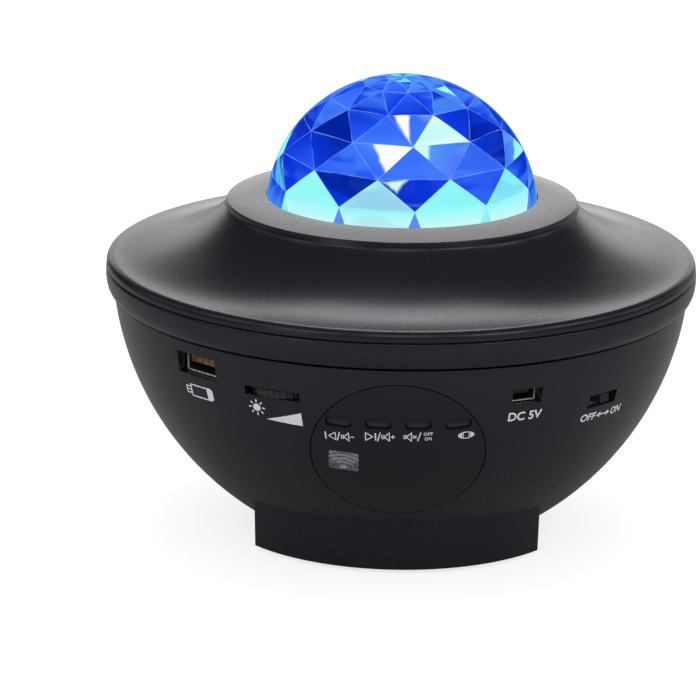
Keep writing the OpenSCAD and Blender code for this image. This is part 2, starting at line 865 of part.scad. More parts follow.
module usb_a_tongue() {
    back = 1.2;
    riser = usb_rise - usb[1] / 2;
    color(WHITE_PLASTIC) at_side(usb_az, bowl_r_at(usb_z) - port_sink, usb_z) {
        // tongue that carries the contacts, and the block behind it
        translate([0, 0.5, -11.5]) block(11.1, 1.8, 10.9);
        socket_block(usb, 2.6, back);
        // riser that lifts the socket off the board, joined behind the shell
        translate([0, -usb_rise + riser / 2, -usb[2] - back]) block(usb[0] - 1, riser, usb[2] - 3);
        translate([0, -usb_rise / 2, -usb[2] - back]) block(usb[0] - 1, usb_rise, back - 0.05);
    }
}

module dc_shell() {
    color(STEEL) at_side(dc_az, bowl_r_at(dc_z) - port_sink, dc_z) socket_shell(dc);
}

module dc_tongue() {
    color(DARK_PLASTIC) at_side(dc_az, bowl_r_at(dc_z) - port_sink, dc_z) {
        translate([0, 0.4, -7.2]) block(4.6, 1.1, 6.4);
        socket_block(dc, 2.2, 0);
    }
}

module at_switch() {
    at_side(switch_az, bowl_r_at(switch_z) - wall - 0.8, switch_z) children();
}

module switch_case() {
    size = switch_case_size;
    color(STEEL) at_switch() translate([0, 0, -size[2]]) difference() {
        block(size[0], size[1], size[2]);
        translate([0, 0, size[2] - 1.2])
            block(knob[0] + switch_travel + 2 * play, knob[1] + 2 * play, 3);
    }
}

module power_slider() {
    proud = wall + 0.8 - 0.6;
    color(DARK_PLASTIC) at_switch() translate([switch_travel / 2, 0, -1]) difference() {
        block(knob[0], knob[1], 1 + proud);
        for (x = [-1, 0, 1]) translate([x, 0, 1 + proud]) rotate([90, 0, 0])
            cylinder(r = 0.25, h = knob[1] + 2, center = true, $fn = 24);
    }
}

// ------------------------------------------------------------------ main board

module main_board() {
    color(BOARD_GREEN) translate([0, 0, board_z]) difference() {
        linear_extrude(height = pcb_t) difference() {
            intersection() {
                circle(r = board_r);
                translate([-board_r, -board_r]) square([2 * board_r, board_r - board_back]);
            }
            translate([-notch_w / 2, -board_r - 1]) square([notch_w, board_r + 1 - notch_y]);
        }
        at_board_posts() translate([0, 0, -1]) cylinder(r = 1.4, h = pcb_t + 2);
        at_wheel() translate([0, 0, -1]) cylinder(r = pot_bush_r + 0.2, h = pcb_t + 2);
    }
}

module main_board_screws() {
    color(STEEL) at_board_posts() translate([0, 0, board_top]) mirror([0, 0, 1])
        screw(1.1, 7, 2.4, 1.2);
}

module board_chips() {
    color(DARK_PLASTIC) translate([0, 0, board_top]) {
        translate([0, -board_back - 20, 0]) block(chip_w, chip_w, chip_t);
        for (x = [-chip_row_x, chip_row_x]) translate([x, -chip_row_y, 0])
            block(chip_w / 2, 0.62 * chip_w, chip_t);
        translate([laser_plug_x + chip_w, -chip_row_y, 0]) block(chip_w / 2, 0.62 * chip_w, chip_t);
    }
}

module board_capacitors() {
    color([0.12, 0.15, 0.3]) for (k = [0, 1]) translate([-11 - k * (2 * can_r + 1), -can_y, board_top])
        difference() {
            cylinder(r = can_r, h = can_h);
            for (a = [0, 90]) rotate([0, 0, a]) translate([0, 0, can_h - 0.2]) block(5, 0.4, 1);
        }
}

// ------------------------------------------------------------------ light engine

module light_chassis() {
    color(WHITE_PLASTIC) difference() {
        union() {
            translate([0, 0, deck_z]) cylinder(r = deck_r, h = deck_t);
            around(3, 0) translate([-ear_w / 2, -ear_r, deck_z]) cube([ear_w, ear_r - 30, deck_t]);
            around(3, ear_r) translate([0, 0, deck_z]) cylinder(r = ear_w / 2, h = deck_t);
            translate([0, 0, deck_z - tube_foot]) cylinder(r = tube_r, h = tube_top - deck_z + tube_foot);
            // ribs under the deck
            translate([0, 0, deck_z - 2.4]) tube(21, 19.4, 2.5);
            around(6, 0) translate([-0.8, -20, deck_z - 2.4]) cube([1.6, 14, 2.5]);
        }
        translate([0, 0, deck_z - tube_foot + 0.8]) cylinder(r = laser_r + 0.05, h = 40);
        translate([0, 0, deck_z - tube_foot - 1]) cylinder(r = laser_r - 1.4, h = 4);
        around(3, ear_r) translate([0, 0, deck_z - 1]) cylinder(r = 1.4, h = deck_t + 2);
        translate([0, mesh_dist, deck_z - 1]) cylinder(r = 3.7, h = deck_t + 2);
        for (s = [-1, 1]) translate([s * motor_lug_x, mesh_dist, deck_z - 1])
            cylinder(r = SELF_TAP, h = deck_t + 2);
        rotate([0, 0, lead_hole_turn]) translate([0, -lead_hole_at, deck_z - 1])
            cylinder(r = lead_hole_r, h = deck_t + 2);
    }
}

module chassis_screws() {
    color(STEEL) around(3, ear_r) translate([0, 0, deck_z]) screw(1.1, 8, 2.4, 1.2);
}

module lamp_board() {
    color([0.9, 0.9, 0.88]) translate([0, 0, deck_top]) tube(lamp_board_r, tube_r + 0.3, pcb_t);
}

module lamps() {
    color([0.95, 0.92, 0.7]) around(lamp_n, lamp_ring_r) translate([0, 0, deck_top + pcb_t]) {
        block(5, 5, 1);
        translate([0, 0, 1]) intersection() {
            sphere(r = 2.2, $fn = 48);
            cylinder(r = 3, h = 3);
        }
    }
}

module reflector_cup() {
    color([0.85, 0.86, 0.88]) translate([0, 0, deck_top]) rotate_extrude() polygon([
        [lamp_board_r + 0.3, 0],
        [cup_r, 0],
        [cup_r, cup_h],
        [cup_r - 0.8, cup_h],
        [lamp_board_r + 0.3, cup_h - 3.4]
    ]);
}

module ripple_plate() {
    color(CLEAR) translate([0, 0, plate_z]) difference() {
        tube(cup_r, tube_r + 0.3, plate_t);
        for (r = [12 : 3 : 24]) rotate_extrude() translate([r, -1.6]) circle(r = 2, $fn = 48);
    }
}

// One flank of an involute tooth from radius r_low to r_high, as [radius, turn] pairs.
function flank(base_r, r_low, r_high, steps) = [
    for (s = [0 : steps])
        let (r = max(base_r, r_low + (r_high - r_low) * s / steps), t = sqrt(pow(r / base_r, 2) - 1))
        [r, t * 180 / PI - atan(t)]
];

// Outline of a spur gear whose first tooth points along +X.
module gear_outline(teeth, addendum, thin) {
    pitch_r = gear_module * teeth / 2;
    base_r = pitch_r * cos(20);
    root_r = pitch_r - 1.25 * gear_module;
    tip_r = pitch_r + addendum * gear_module;
    t = sqrt(pow(pitch_r / base_r, 2) - 1);
    half = 90 / teeth - thin / pitch_r * 90 / PI + t * 180 / PI - atan(t);
    side = flank(base_r, max(root_r, base_r), tip_r, 3);
    tooth = concat(
        [[root_r, -half]],
        [for (p = side) [p[0], p[1] - half]],
        [for (k = [len(side) - 1 : -1 : 0]) [side[k][0], half - side[k][1]]],
        [[root_r, half]]);
    polygon([
        for (k = [0 : teeth - 1], p = tooth)
            let (a = p[1] + k * 360 / teeth) [p[0] * cos(a), p[0] * sin(a)]
    ]);
}

module ripple_wheel() {
    rim_in = wheel_pitch_r - 2.4;
    web_t = 1.2;
    color(CLEAR) translate([0, 0, gear_z]) difference() {
        union() {
            difference() {
                linear_extrude(height = gear_t) gear_outline(wheel_teeth, 0.8, 0.1);
                translate([0, 0, web_t]) cylinder(r = rim_in, h = gear_t);
            }
            cylinder(r = hub_r, h = hub_h);
            // bumps that bend the light into moving ripples
            for (ring = [0 : 1], k = [0 : 5 + 6 * ring])
                rotate([0, 0, k * 360 / (6 + 6 * ring) + 15 * ring])
                    translate([13 + 7.6 * ring, 0, web_t]) intersection() {
                        translate([0, 0, -2.8]) sphere(r = 3.8, $fn = 48);
                        translate([0, 0, -0.5]) cylinder(r = 4, h = 2);
                    }
        }
        translate([0, 0, -1]) cylinder(r = tube_r + bearing_gap, h = tube_top + 1.4 - gear_z);
        translate([0, 0, -1]) cylinder(r = tube_r - 1.8, h = hub_h + 2);
        translate([0, 0, hub_h - grating_t - 0.2]) cylinder(r = tube_r, h = 2);
    }
}

module grating_disc() {
    color(CLEAR) translate([0, 0, gear_z + hub_h - grating_t - 0.2])
        cylinder(r = tube_r - 0.05, h = grating_t);
}

module bearing_washer() {
    color(WHITE_PLASTIC) translate([0, 0, plate_z + plate_t]) tube(tube_r + 2.4, tube_r + 0.15, washer_t);
}

module laser_barrel() {
    z0 = deck_z - tube_foot + 0.8;
    color(BRASS) translate([0, 0, z0]) difference() {
        cylinder(r = laser_r, h = tube_top - z0 - 0.6);
        translate([0, 0, tube_top - z0 - 3]) cylinder(r = laser_r - 1, h = 4);
        translate([0, 0, -1]) cylinder(r = 1.6, h = 6);
    }
}

module laser_lens() {
    color(CLEAR) translate([0, 0, tube_top - 3]) cylinder(r = laser_r - 1.05, h = 1.4);
}

module drive_motor() {
    color(STEEL) translate([0, mesh_dist, 0]) difference() {
        union() {
            translate([0, 0, deck_z - motor_h]) cylinder(r = motor_r, h = motor_h);
            translate([0, 0, deck_z]) cylinder(r = 3.5, h = deck_t);
            translate([0, 0, deck_z - 1.2]) block(2 * motor_lug_x, 6, 1.2);
            for (s = [-1, 1]) translate([s * motor_lug_x, 0, deck_z - 1.2]) cylinder(r = 3, h = 1.2);
        }
        translate([0, 0, deck_z - 6.1]) cylinder(r = shaft_r + bearing_gap, h = 20);
        for (s = [-1, 1]) translate([s * motor_lug_x, 0, deck_z - 3]) cylinder(r = 1.3, h = 5);
    }
}

module motor_shaft() {
    color(STEEL) translate([0, mesh_dist, deck_z - 6])
        cylinder(r = shaft_r, h = gear_z + pinion_t - deck_z + 6);
}

module motor_pinion() {
    color(WHITE_PLASTIC) translate([0, mesh_dist, gear_z - 0.5]) difference() {
        linear_extrude(height = pinion_t) rotate(-90 + 180 / pinion_teeth)
            gear_outline(pinion_teeth, 1, 0.1);
        translate([0, 0, -1]) cylinder(r = shaft_r + 0.02, h = pinion_t + 2);
    }
}

module motor_screws() {
    color(STEEL) for (s = [-1, 1]) translate([s * motor_lug_x, mesh_dist, deck_z - 1.2])
        screw(1.1, 3.4, 2.2, 1);
}

// ------------------------------------------------------------------ loudspeaker

module speaker_frame() {
    r = speaker_r;
    neck = speaker_neck_r;
    depth = speaker_neck_z - speaker_z;
    pole_r = 5.5;
    color(DARK_PLASTIC) translate([0, 0, speaker_z]) difference() {
        union() {
            rotate_extrude() polygon([
                [r - 2.4, 0],
                [r, 0],
                [r, lug_t],
                [r - 1.4, lug_t],
                [neck, depth],
                [neck, depth + speaker_neck_t],
                [pole_r, depth + speaker_neck_t],
                [pole_r, depth],
                [neck - 0.8, depth],
                [r - 2.4, 1.4]
            ]);
            around(4, 0, 45) translate([-3, -lug_r, 0]) cube([6, lug_r - r + 1.6, lug_t]);
            around(4, lug_r, 45) cylinder(r = 3, h = lug_t);
            // terminal tab behind the magnet
            translate([-3, neck - 1, depth]) cube([6, tab_reach + 1, speaker_neck_t]);
        }
        around(4, lug_r, 45) translate([0, 0, -1]) cylinder(r = 1, h = lug_t + 2);
        around(4, (r + neck) / 2 - 0.7) translate([0, 0, 3.2]) block(10, 9, depth - 5.2);
    }
}

module speaker_cone() {
    r = speaker_r - 2.6;
    color(PAPER_BLACK) translate([0, 0, speaker_z]) rotate_extrude() polygon([
        [r, 0.3],
        [r, 0.9],
        [r - 1.6, 1.3],
        [5.2, 7],
        [5.2, 8.6],
        [4.6, 8.6],
        [4.6, 6.4],
        [0, 5.2],
        [0, 4.8],
        [4.8, 6],
        [r - 1.6, 0.7]
    ]);
}

module speaker_magnet() {
    color(STEEL) translate([0, 0, speaker_neck_z + speaker_neck_t]) difference() {
        cylinder(r = magnet_r, h = magnet_h);
        translate([0, 0, -1]) tube(5.5, 4.3, 4.5);
    }
}

module speaker_gasket() {
    color(RUBBER) translate([0, 0, base_top]) tube(speaker_r, speaker_r - 3, gasket_t);
}

module speaker_screws() {
    color(STEEL) around(4, lug_r, 45) translate([0, 0, speaker_z + lug_t]) mirror([0, 0, 1])
        screw(0.85, 3.2, 1.9, 0.9);
}

// ------------------------------------------------------------------ leads

function unit(v) = v / norm(v);

// A smooth curve through the points P, with n steps from each point to the next.
function spline(P, n) = [
    for (i = [0 : len(P) - 2], k = [0 : n - 1])
        let (
            t = k / n,
            a = P[max(i - 1, 0)],
            b = P[i],
            c = P[i + 1],
            d = P[min(i + 2, len(P) - 1)]
        )
        b + t * (c - a) / 2 + t * t * (2 * a - 5 * b + 4 * c - d) / 2
            + t * t * t * (3 * b - 3 * c + d - a) / 2,
    P[len(P) - 1]
];

// A lead of the given cross-section along a smooth curve; ref is never parallel to the curve.
module lead(P, section, ref) {
    path = spline(P, 4);
    n = len(path);
    m = len(section);
    rings = [
        for (j = [0 : n - 1])
            let (
                t = unit(path[min(j + 1, n - 1)] - path[max(j - 1, 0)]),
                v = unit(cross(t, ref)),
                u = cross(v, t)
            )
            for (q = section) path[j] + q[0] * u + q[1] * v
    ];
    sides = [
        for (j = [0 : n - 2], k = [0 : m - 1])
            let (a = j * m + k, b = j * m + (k + 1) % m)
            each [[a, a + m, b], [b, a + m, b + m]]
    ];
    last = (n - 1) * m;
    ends = [for (k = [1 : m - 2]) each [[0, k, k + 1], [last, last + k + 1, last + k]]];
    polyhedron(points = rings, faces = concat(ends, sides));
}

ROUND_WIRE = [for (k = [0 : 5]) wire_r * [cos(k * 60), sin(k * 60)]];
FLAT_RIBBON = [
    [ribbon[0] / 2, ribbon[1] / 2],
    [-ribbon[0] / 2, ribbon[1] / 2],
    [-ribbon[0] / 2, -ribbon[1] / 2],
    [ribbon[0] / 2, -ribbon[1] / 2]
];

// Two wires side by side in X along the same curve.
module wire_pair(P) {
    for (s = [-1, 1]) lead([for (p = P) p + [s * wire_pitch / 2, 0, 0]], ROUND_WIRE, [1, 0, 0]);
}

module speaker_leads() {
    top = board_z - plug_h;
    y0 = speaker_neck_r + tab_reach - 2.5;
    z0 = speaker_neck_z + speaker_neck_t;
    color(RUBBER) union() {
        translate([speaker_plug[0], speaker_plug[1], top]) block(plug_w, plug_d, plug_h);
        wire_pair([
            [0, y0, z0 + 0.1],
            [0, y0, z0 + 6],
            [-6, 13, z0 + 17],
            [-15, -4, z0 + 27],
            [-21, -22, top - 6],
            [speaker_plug[0], speaker_plug[1], top + 0.5]
        ]);
    }
}

module engine_leads() {
    plug_top = board_top + plug_h;
    barrel_z = deck_z - tube_foot;
    motor_z = deck_z - motor_h;
    hole_x = lead_hole_at * sin(lead_hole_turn);
    hole_y = -lead_hole_at * cos(lead_hole_turn);
    color(RUBBER) {
        for (x = [lamp_plug_x, laser_plug_x, motor_plug_x])
            translate([x, -plug_row_y, board_top]) block(plug_w, plug_d, plug_h);
        // to the lamp board
        wire_pair([
            [lamp_plug_x, -plug_row_y, plug_top - 0.5],
            [lamp_plug_x, -plug_row_y + 1, plug_top + 2.2],
            [hole_x, hole_y - 3, barrel_z - 0.5],
            [hole_x, hole_y, deck_z],
            [hole_x, hole_y, deck_top - 0.15]
        ]);
        // to the laser
        wire_pair([
            [laser_plug_x, -plug_row_y, plug_top - 0.5],
            [laser_plug_x, -plug_row_y + 1.5, plug_top + 2],
            [1, -10, barrel_z - 3],
            [0, -0.5, barrel_z - 2],
            [0, 0, barrel_z + 2]
        ]);
        // to the motor
        wire_pair([
            [motor_plug_x, -plug_row_y, plug_top - 0.5],
            [motor_plug_x, -plug_row_y + 1.5, plug_top + 1.6],
            [10, -10, board_top],
            [6, 12, motor_z - 5],
            [3, mesh_dist, motor_z - 5],
            [3, mesh_dist + 3, motor_z - 3],
            [3, mesh_dist + 3, motor_z - 0.15]
        ]);
    }
}

module key_ribbon() {
    back = key_board_face - pcb_t;
    from_y = -panel_out - ribbon_from_y * sin(panel_tilt) - (back - ribbon_plug_h) * cos(panel_tilt);
    from_z = panel_z + ribbon_from_y * cos(panel_tilt) - (back - ribbon_plug_h) * sin(panel_tilt);
    into = [0, cos(panel_tilt), sin(panel_tilt)];
    top = board_z - ribbon_plug_h;
    color([0.75, 0.75, 0.75]) union() {
        at_panel() translate([0, ribbon_from_y, back - ribbon_plug_h])
            block(ribbon[0] + 2, 4, ribbon_plug_h);
        translate([0, -ribbon_plug_y, top]) block(ribbon[0] + 2, 4, ribbon_plug_h);
        lead([
            [0, from_y, from_z] - 0.5 * into,
            [0, from_y, from_z] + 3 * into,
            [0, -ribbon_plug_y + 1.6, top - 3.5],
            [0, -ribbon_plug_y, top + 0.5]
        ], FLAT_RIBBON, [1, 0, 0]);
    }
}

// ------------------------------------------------------------------ nodes

top_cover();
rim_band();
bowl_housing();
base_cover();
rubber_feet();
base_screws();
crystal_dome();
dome_retainer();
retainer_screws();
control_panel();
key_previous();
key_next();
key_mute();
key_mode();
plunger_previous();
plunger_next();
plunger_mute();
plunger_mode();
tact_switches();
key_board();
key_board_screws();
ir_window();
ir_receiver();
brightness_wheel();
wheel_shaft();
brightness_pot();
wheel_screw();
usb_a_shell();
usb_a_tongue();
dc_shell();
dc_tongue();
switch_case();
power_slider();
main_board();
main_board_screws();
board_chips();
board_capacitors();
light_chassis();
chassis_screws();
lamp_board();
lamps();
reflector_cup();
ripple_plate();
ripple_wheel();
grating_disc();
bearing_washer();
laser_barrel();
laser_lens();
drive_motor();
motor_shaft();
motor_pinion();
motor_screws();
speaker_frame();
speaker_cone();
speaker_magnet();
speaker_gasket();
speaker_screws();
speaker_leads();
engine_leads();
key_ribbon();
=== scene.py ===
"""The star night light projector, dressed and set in a plain studio."""

import json
import logging
import math
from dataclasses import dataclass, replace
from enum import Enum
from typing import Callable

import bpy
from mathutils import Matrix, Vector


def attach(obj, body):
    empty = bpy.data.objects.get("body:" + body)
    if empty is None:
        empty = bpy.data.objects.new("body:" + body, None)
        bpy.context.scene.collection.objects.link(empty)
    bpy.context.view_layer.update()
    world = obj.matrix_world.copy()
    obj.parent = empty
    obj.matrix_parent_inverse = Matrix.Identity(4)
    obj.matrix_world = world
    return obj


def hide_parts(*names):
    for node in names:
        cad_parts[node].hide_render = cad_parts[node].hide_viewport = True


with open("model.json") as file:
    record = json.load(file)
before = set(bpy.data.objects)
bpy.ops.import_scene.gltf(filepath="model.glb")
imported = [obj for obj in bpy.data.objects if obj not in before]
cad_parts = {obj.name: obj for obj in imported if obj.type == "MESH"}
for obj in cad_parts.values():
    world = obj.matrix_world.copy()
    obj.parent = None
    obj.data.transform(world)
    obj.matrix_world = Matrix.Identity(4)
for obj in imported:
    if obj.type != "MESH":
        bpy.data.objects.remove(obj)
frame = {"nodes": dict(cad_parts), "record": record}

log = logging.getLogger("projector")
MM = 0.001
HOUSING = "housing"

Colour = tuple[float, float, float]
Point = tuple[float, float, float]
Corner = tuple[float, float]


def srgb(red: int, green: int, blue: int) -> Colour:
    """Turns a colour of 0 to 255 a channel into linear light.

    Args:
        red: Red channel.
        green: Green channel.
        blue: Blue channel.

    Returns:
        The three channels in linear light.
    """
    shares = (channel / 255 for channel in (red, green, blue))
    return tuple(s / 12.92 if s <= 0.04045 else ((s + 0.055) / 1.055) ** 2.4 for s in shares)


# how strongly the facets shine, and how much of each channel the clear shell lets through
GLOW = 1.15
SHELL_SHARE = (0.86, 0.95, 0.98)
# a distance in millimetres that means no edge is near, and what lifts a patch's distances off 0, no patch
FAR = 20.0
PATCH_ZERO = 10.0


def lit(red: int, green: int, blue: int) -> Colour:
    """What a facet gives off so that it is seen in this colour through the clear shell.

    Args:
        red: Red channel, 0 to 255.
        green: Green channel.
        blue: Blue channel.

    Returns:
        The colour to give off.
    """
    return tuple(c / (share * GLOW) for c, share in zip(srgb(red, green, blue), SHELL_SHARE))


# --------------------------------------------------------------------------- shader expressions


@dataclass(frozen=True)
class Signal:
    """A number, colour or vector that flows through a material, with operators that add its nodes."""

    graph: "Graph"
    socket: bpy.types.NodeSocket

    def _maths(self, operation: str, *terms: "float | Signal", clamp: bool = False) -> "Signal":
        """Adds one Math node."""
        return self.graph.signal(
            "ShaderNodeMath", {"operation": operation, "use_clamp": clamp}, dict(enumerate(terms)))

    def __add__(self, other: "float | Signal") -> "Signal":
        """self + other."""
        return self._maths("ADD", self, other)

    def __radd__(self, other: float) -> "Signal":
        """other + self."""
        return self._maths("ADD", other, self)

    def __sub__(self, other: "float | Signal") -> "Signal":
        """self - other."""
        return self._maths("SUBTRACT", self, other)

    def __rsub__(self, other: float) -> "Signal":
        """other - self."""
        return self._maths("SUBTRACT", other, self)

    def __mul__(self, other: "float | Signal") -> "Signal":
        """self * other."""
        return self._maths("MULTIPLY", self, other)

    def __rmul__(self, other: float) -> "Signal":
        """other * self."""
        return self._maths("MULTIPLY", other, self)

    def __truediv__(self, other: "float | Signal") -> "Signal":
        """self / other."""
        return self._maths("DIVIDE", self, other)

    def least(self, other: "float | Signal") -> "Signal":
        """The smaller of self and other."""
        return self._maths("MINIMUM", self, other)

    def most(self, other: "float | Signal") -> "Signal":
        """The larger of self and other."""
        return self._maths("MAXIMUM", self, other)

    def fraction(self) -> "Signal":
        """The part of self behind the decimal point."""
        return self._maths("FRACT", self)

    def size(self) -> "Signal":
        """self without its sign."""
        return self._maths("ABSOLUTE", self)

    def clamped(self) -> "Signal":
        """self, held between 0 and 1."""
        return self._maths("ADD", self, 0.0, clamp=True)

    def step(self, low: float, high: float) -> "Signal":
        """A smooth step from 0 at low to 1 at high.

        Args:
            low: Value that gives 0.
            high: Value that gives 1, which may be the smaller of the two.

        Returns:
            The step.
        """
        flip = low > high
        ends = {1: min(low, high), 2: max(low, high), 3: float(flip), 4: float(not flip)}
        return self.graph.signal(
            "ShaderNodeMapRange", {"interpolation_type": "SMOOTHSTEP"}, {0: self, **ends})

    def part(self, index: int) -> "Signal":
        """Channel number index of a vector."""
        return self.graph.signal("ShaderNodeSeparateXYZ", {}, {0: self}, index)


class Graph:
    """The node tree of one material or world."""

    def __init__(self, tree: bpy.types.NodeTree) -> None:
        """Empties the tree.

        Args:
            tree: Tree to fill.
        """
        self.tree = tree
        tree.nodes.clear()

    def node(self, kind: str, settings: dict | None = None, inputs: dict | None = None) -> bpy.types.Node:
        """Adds a node.

        Args:
            kind: Type of the node.
            settings: Its properties, set first; "stops" gives a ramp's places and colours.
            inputs: Values or signals for its sockets, by name or number.

        Returns:
            The node.
        """
        made = self.tree.nodes.new(kind)
        for key, value in (settings or {}).items():
            if key == "stops":
                self._set_stops(made.color_ramp, value)
            else:
                setattr(made, key, value)
        for key, value in (inputs or {}).items():
            self._feed(made.inputs[key], value)
        return made

    def signal(self, kind: str, settings: dict | None = None, inputs: dict | None = None,
               output: "int | str" = 0) -> Signal:
        """Adds a node and returns one of its outputs.

        Args:
            kind: Type of the node.
            settings: Its properties.
            inputs: Values or signals for its sockets.
            output: Name or number of the output.

        Returns:
            That output.
        """
        return Signal(self, self.node(kind, settings, inputs).outputs[output])

    def _feed(self, socket: bpy.types.NodeSocket, value: "float | Colour | Signal") -> None:
        """Links a signal to a socket, or sets its value.

        Args:
            socket: Socket to feed.
            value: What it gets.
        """
        if isinstance(value, Signal):
            self.tree.links.new(value.socket, socket)
        elif socket.type == "RGBA" and len(value) == 3:
            socket.default_value = (*value, 1.0)
        else:
            socket.default_value = value

    @staticmethod
    def _set_stops(ramp: bpy.types.ColorRamp, stops: list[tuple[float, Colour]]) -> None:
        """Gives a ramp its stops.

        Args:
            ramp: Ramp to fill.
            stops: Place and colour of each stop.
        """
        while len(ramp.elements) < len(stops):
            ramp.elements.new(0.5)
        for element, (place, colour) in zip(ramp.elements, stops):
            element.position = place
            element.color = (*colour, 1.0)

    def place(self) -> Signal:
        """Where a point is on the object, in metres."""
        return self.signal("ShaderNodeTexCoord", {}, {}, "Object")

    def attribute(self, name: str, output: str = "Color") -> Signal:
        """A value that the mesh carries.

        Args:
            name: Name of the attribute.
            output: Color, Vector, Fac or Alpha.

        Returns:
            The value.
        """
        return self.signal("ShaderNodeAttribute", {"attribute_name": name}, {}, output)

    def stretched(self, vector: Signal, scale: Point, offset: Point = (0.0, 0.0, 0.0)) -> Signal:
        """A vector scaled by axis, then moved.

        Args:
            vector: Vector to change.
            scale: Scale by axis.
            offset: Move by axis.

        Returns:
            The new vector.
        """
        return self.signal("ShaderNodeMapping", {}, {0: vector, "Location": offset, "Scale": scale})

    def noise(self, vector: Signal, scale: float, detail: float = 2.0, distortion: float = 0.0) -> Signal:
        """Soft clouds between 0 and 1.

        Args:
            vector: Where to read them.
            scale: Clouds in a unit of length.
            detail: Octaves.
            distortion: How far they are twisted.

        Returns:
            The clouds.
        """
        return self.signal("ShaderNodeTexNoise", {},
                           {"Vector": vector, "Scale": scale, "Detail": detail, "Distortion": distortion})

    def mixed(self, first: "Colour | Signal", second: "Colour | Signal", factor: "float | Signal") -> Signal:
        """Two colours mixed.

        Args:
            first: Colour at 0.
            second: Colour at 1.
            factor: How much of the second.

        Returns:
            The mixed colour.
        """
        return self.signal("ShaderNodeMix", {"data_type": "RGBA"}, {0: factor, 6: first, 7: second}, 2)

    def bumped(self, height: Signal, depth: float) -> Signal:
        """A normal from a height.

        Args:
            height: Height between 0 and 1.
            depth: Height in metres of a full step.

        Returns:
            The normal.
        """
        return self.signal("ShaderNodeBump", {}, {"Height": height, "Distance": depth})

    def skin(self, **inputs: "float | Colour | Signal") -> Signal:
        """A Principled shader, whose sockets are named with _ for each space."""
        return self.signal("ShaderNodeBsdfPrincipled", {},
                           {key.replace("_", " "): value for key, value in inputs.items()})


# --------------------------------------------------------------------------- finishes


@dataclass(frozen=True)
class Finish:
    """How one material looks."""

    name: str

    def material(self) -> bpy.types.Material:
        """Makes the material, or finds it where it is made.

        Returns:
            The material.
        """
        found = bpy.data.materials.get(self.name)
        if found:
            return found
        made = bpy.data.materials.new(self.name)
        made.use_nodes = True
        graph = Graph(made.node_tree)
        inside = self.volume(graph)
        graph.node("ShaderNodeOutputMaterial", {},
                   {"Surface": self.surface(graph), **({"Volume": inside} if inside else {})})
        return made

    def volume(self, graph: Graph) -> Signal | None:
        """Builds the shader of the inside, which most finishes don't have.

        Args:
            graph: Tree of the material.

        Returns:
            None.
        """
        return None

    def surface(self, graph: Graph) -> Signal:
        """Builds the shader.

        Args:
            graph: Tree of the material.

        Returns:
            The shader.
        """
        raise NotImplementedError

    def dress(self, *pieces: bpy.types.Object) -> None:
        """Puts the finish on pieces.

        Args:
            pieces: Objects to dress.
        """
        for piece in pieces:
            if not piece.material_slots:
                piece.data.materials.append(None)
            for slot in piece.material_slots:
                slot.material = self.material()


@dataclass(frozen=True)
class MouldedPlastic(Finish):
    """Plastic from a spark-eroded or polished mould, with black painted shade in a gap between two heights.
    """

    colour: Colour
    roughness: float
    grain: float = 0.3
    depth: float = 0.004
    mottle: float = 0.08
    sheen: Colour = (0.9, 0.9, 1.0)
    painted_gap_shade: tuple[float, float] | None = None

    def surface(self, graph: Graph) -> Signal:
        """Grain in the surface, a slight cloudiness in its colour and its gloss, and painted shade between
        two heights.

        Args:
            graph: Tree of the material.

        Returns:
            The shader.
        """
        place = graph.place()
        cloud = graph.noise(place, 45.0, 3.0)
        fine = graph.noise(place, 1 / (self.grain * MM), 1.0)
        coarse = graph.noise(place, 0.35 / (self.grain * MM), 2.0)
        dark = tuple(c * (1 - self.mottle) for c in self.colour)
        pale = tuple(c * (1 + self.mottle) for c in self.colour)
        specks = (fine * 0.6 + coarse * 0.4).step(0.35, 0.65)
        colour = graph.mixed(dark, pale, cloud * 0.6 + specks * 0.4)
        shade: Signal | float = 0.0
        # painted shade in the gap between parts: black colour there, and black metal that takes the gloss
        # away too
        if self.painted_gap_shade:
            low, high = (height * MM for height in self.painted_gap_shade)
            height, fade = place.part(2), 0.15 * MM
            shade = height.step(low - fade, low) * height.step(high + fade, high)
            colour = graph.mixed(colour, (0.0, 0.0, 0.0), shade)
        return graph.skin(
            Base_Color=colour, Metallic=shade, Specular_Tint=(*self.sheen, 1.0),
            Roughness=self.roughness + (cloud - 0.5) * 0.08 + (specks - 0.5) * 0.05,
            Normal=graph.bumped(specks, self.depth * MM))


@dataclass(frozen=True)
class KeyPlastic(Finish):
    """A moulded key, with painted shade of its opening at the top and painted light at its lower edge."""

    dark: Colour = (0.0060, 0.0059, 0.0078)
    pale: Colour = (0.0330, 0.0325, 0.0380)
    low: float = 50.0
    high: float = 51.9

    def surface(self, graph: Graph) -> Signal:
        """A soft change from painted light at the lower edge to painted shade at the top.

        Args:
            graph: Tree of the material.

        Returns:
            The shader.
        """
        place = graph.place()
        grain = graph.noise(place, 4200.0, 1.0)
        # painted shade: the key darkens from its lower edge up to its top, where its opening shades it
        rise = place.part(2).step(self.low * MM, self.high * MM)
        return graph.skin(
            Base_Color=graph.mixed(self.pale, self.dark, rise), Specular_Tint=(0.9, 0.9, 1.0, 1.0),
            Roughness=0.32 + (grain - 0.5) * 0.06, Normal=graph.bumped(grain, 0.001 * MM))


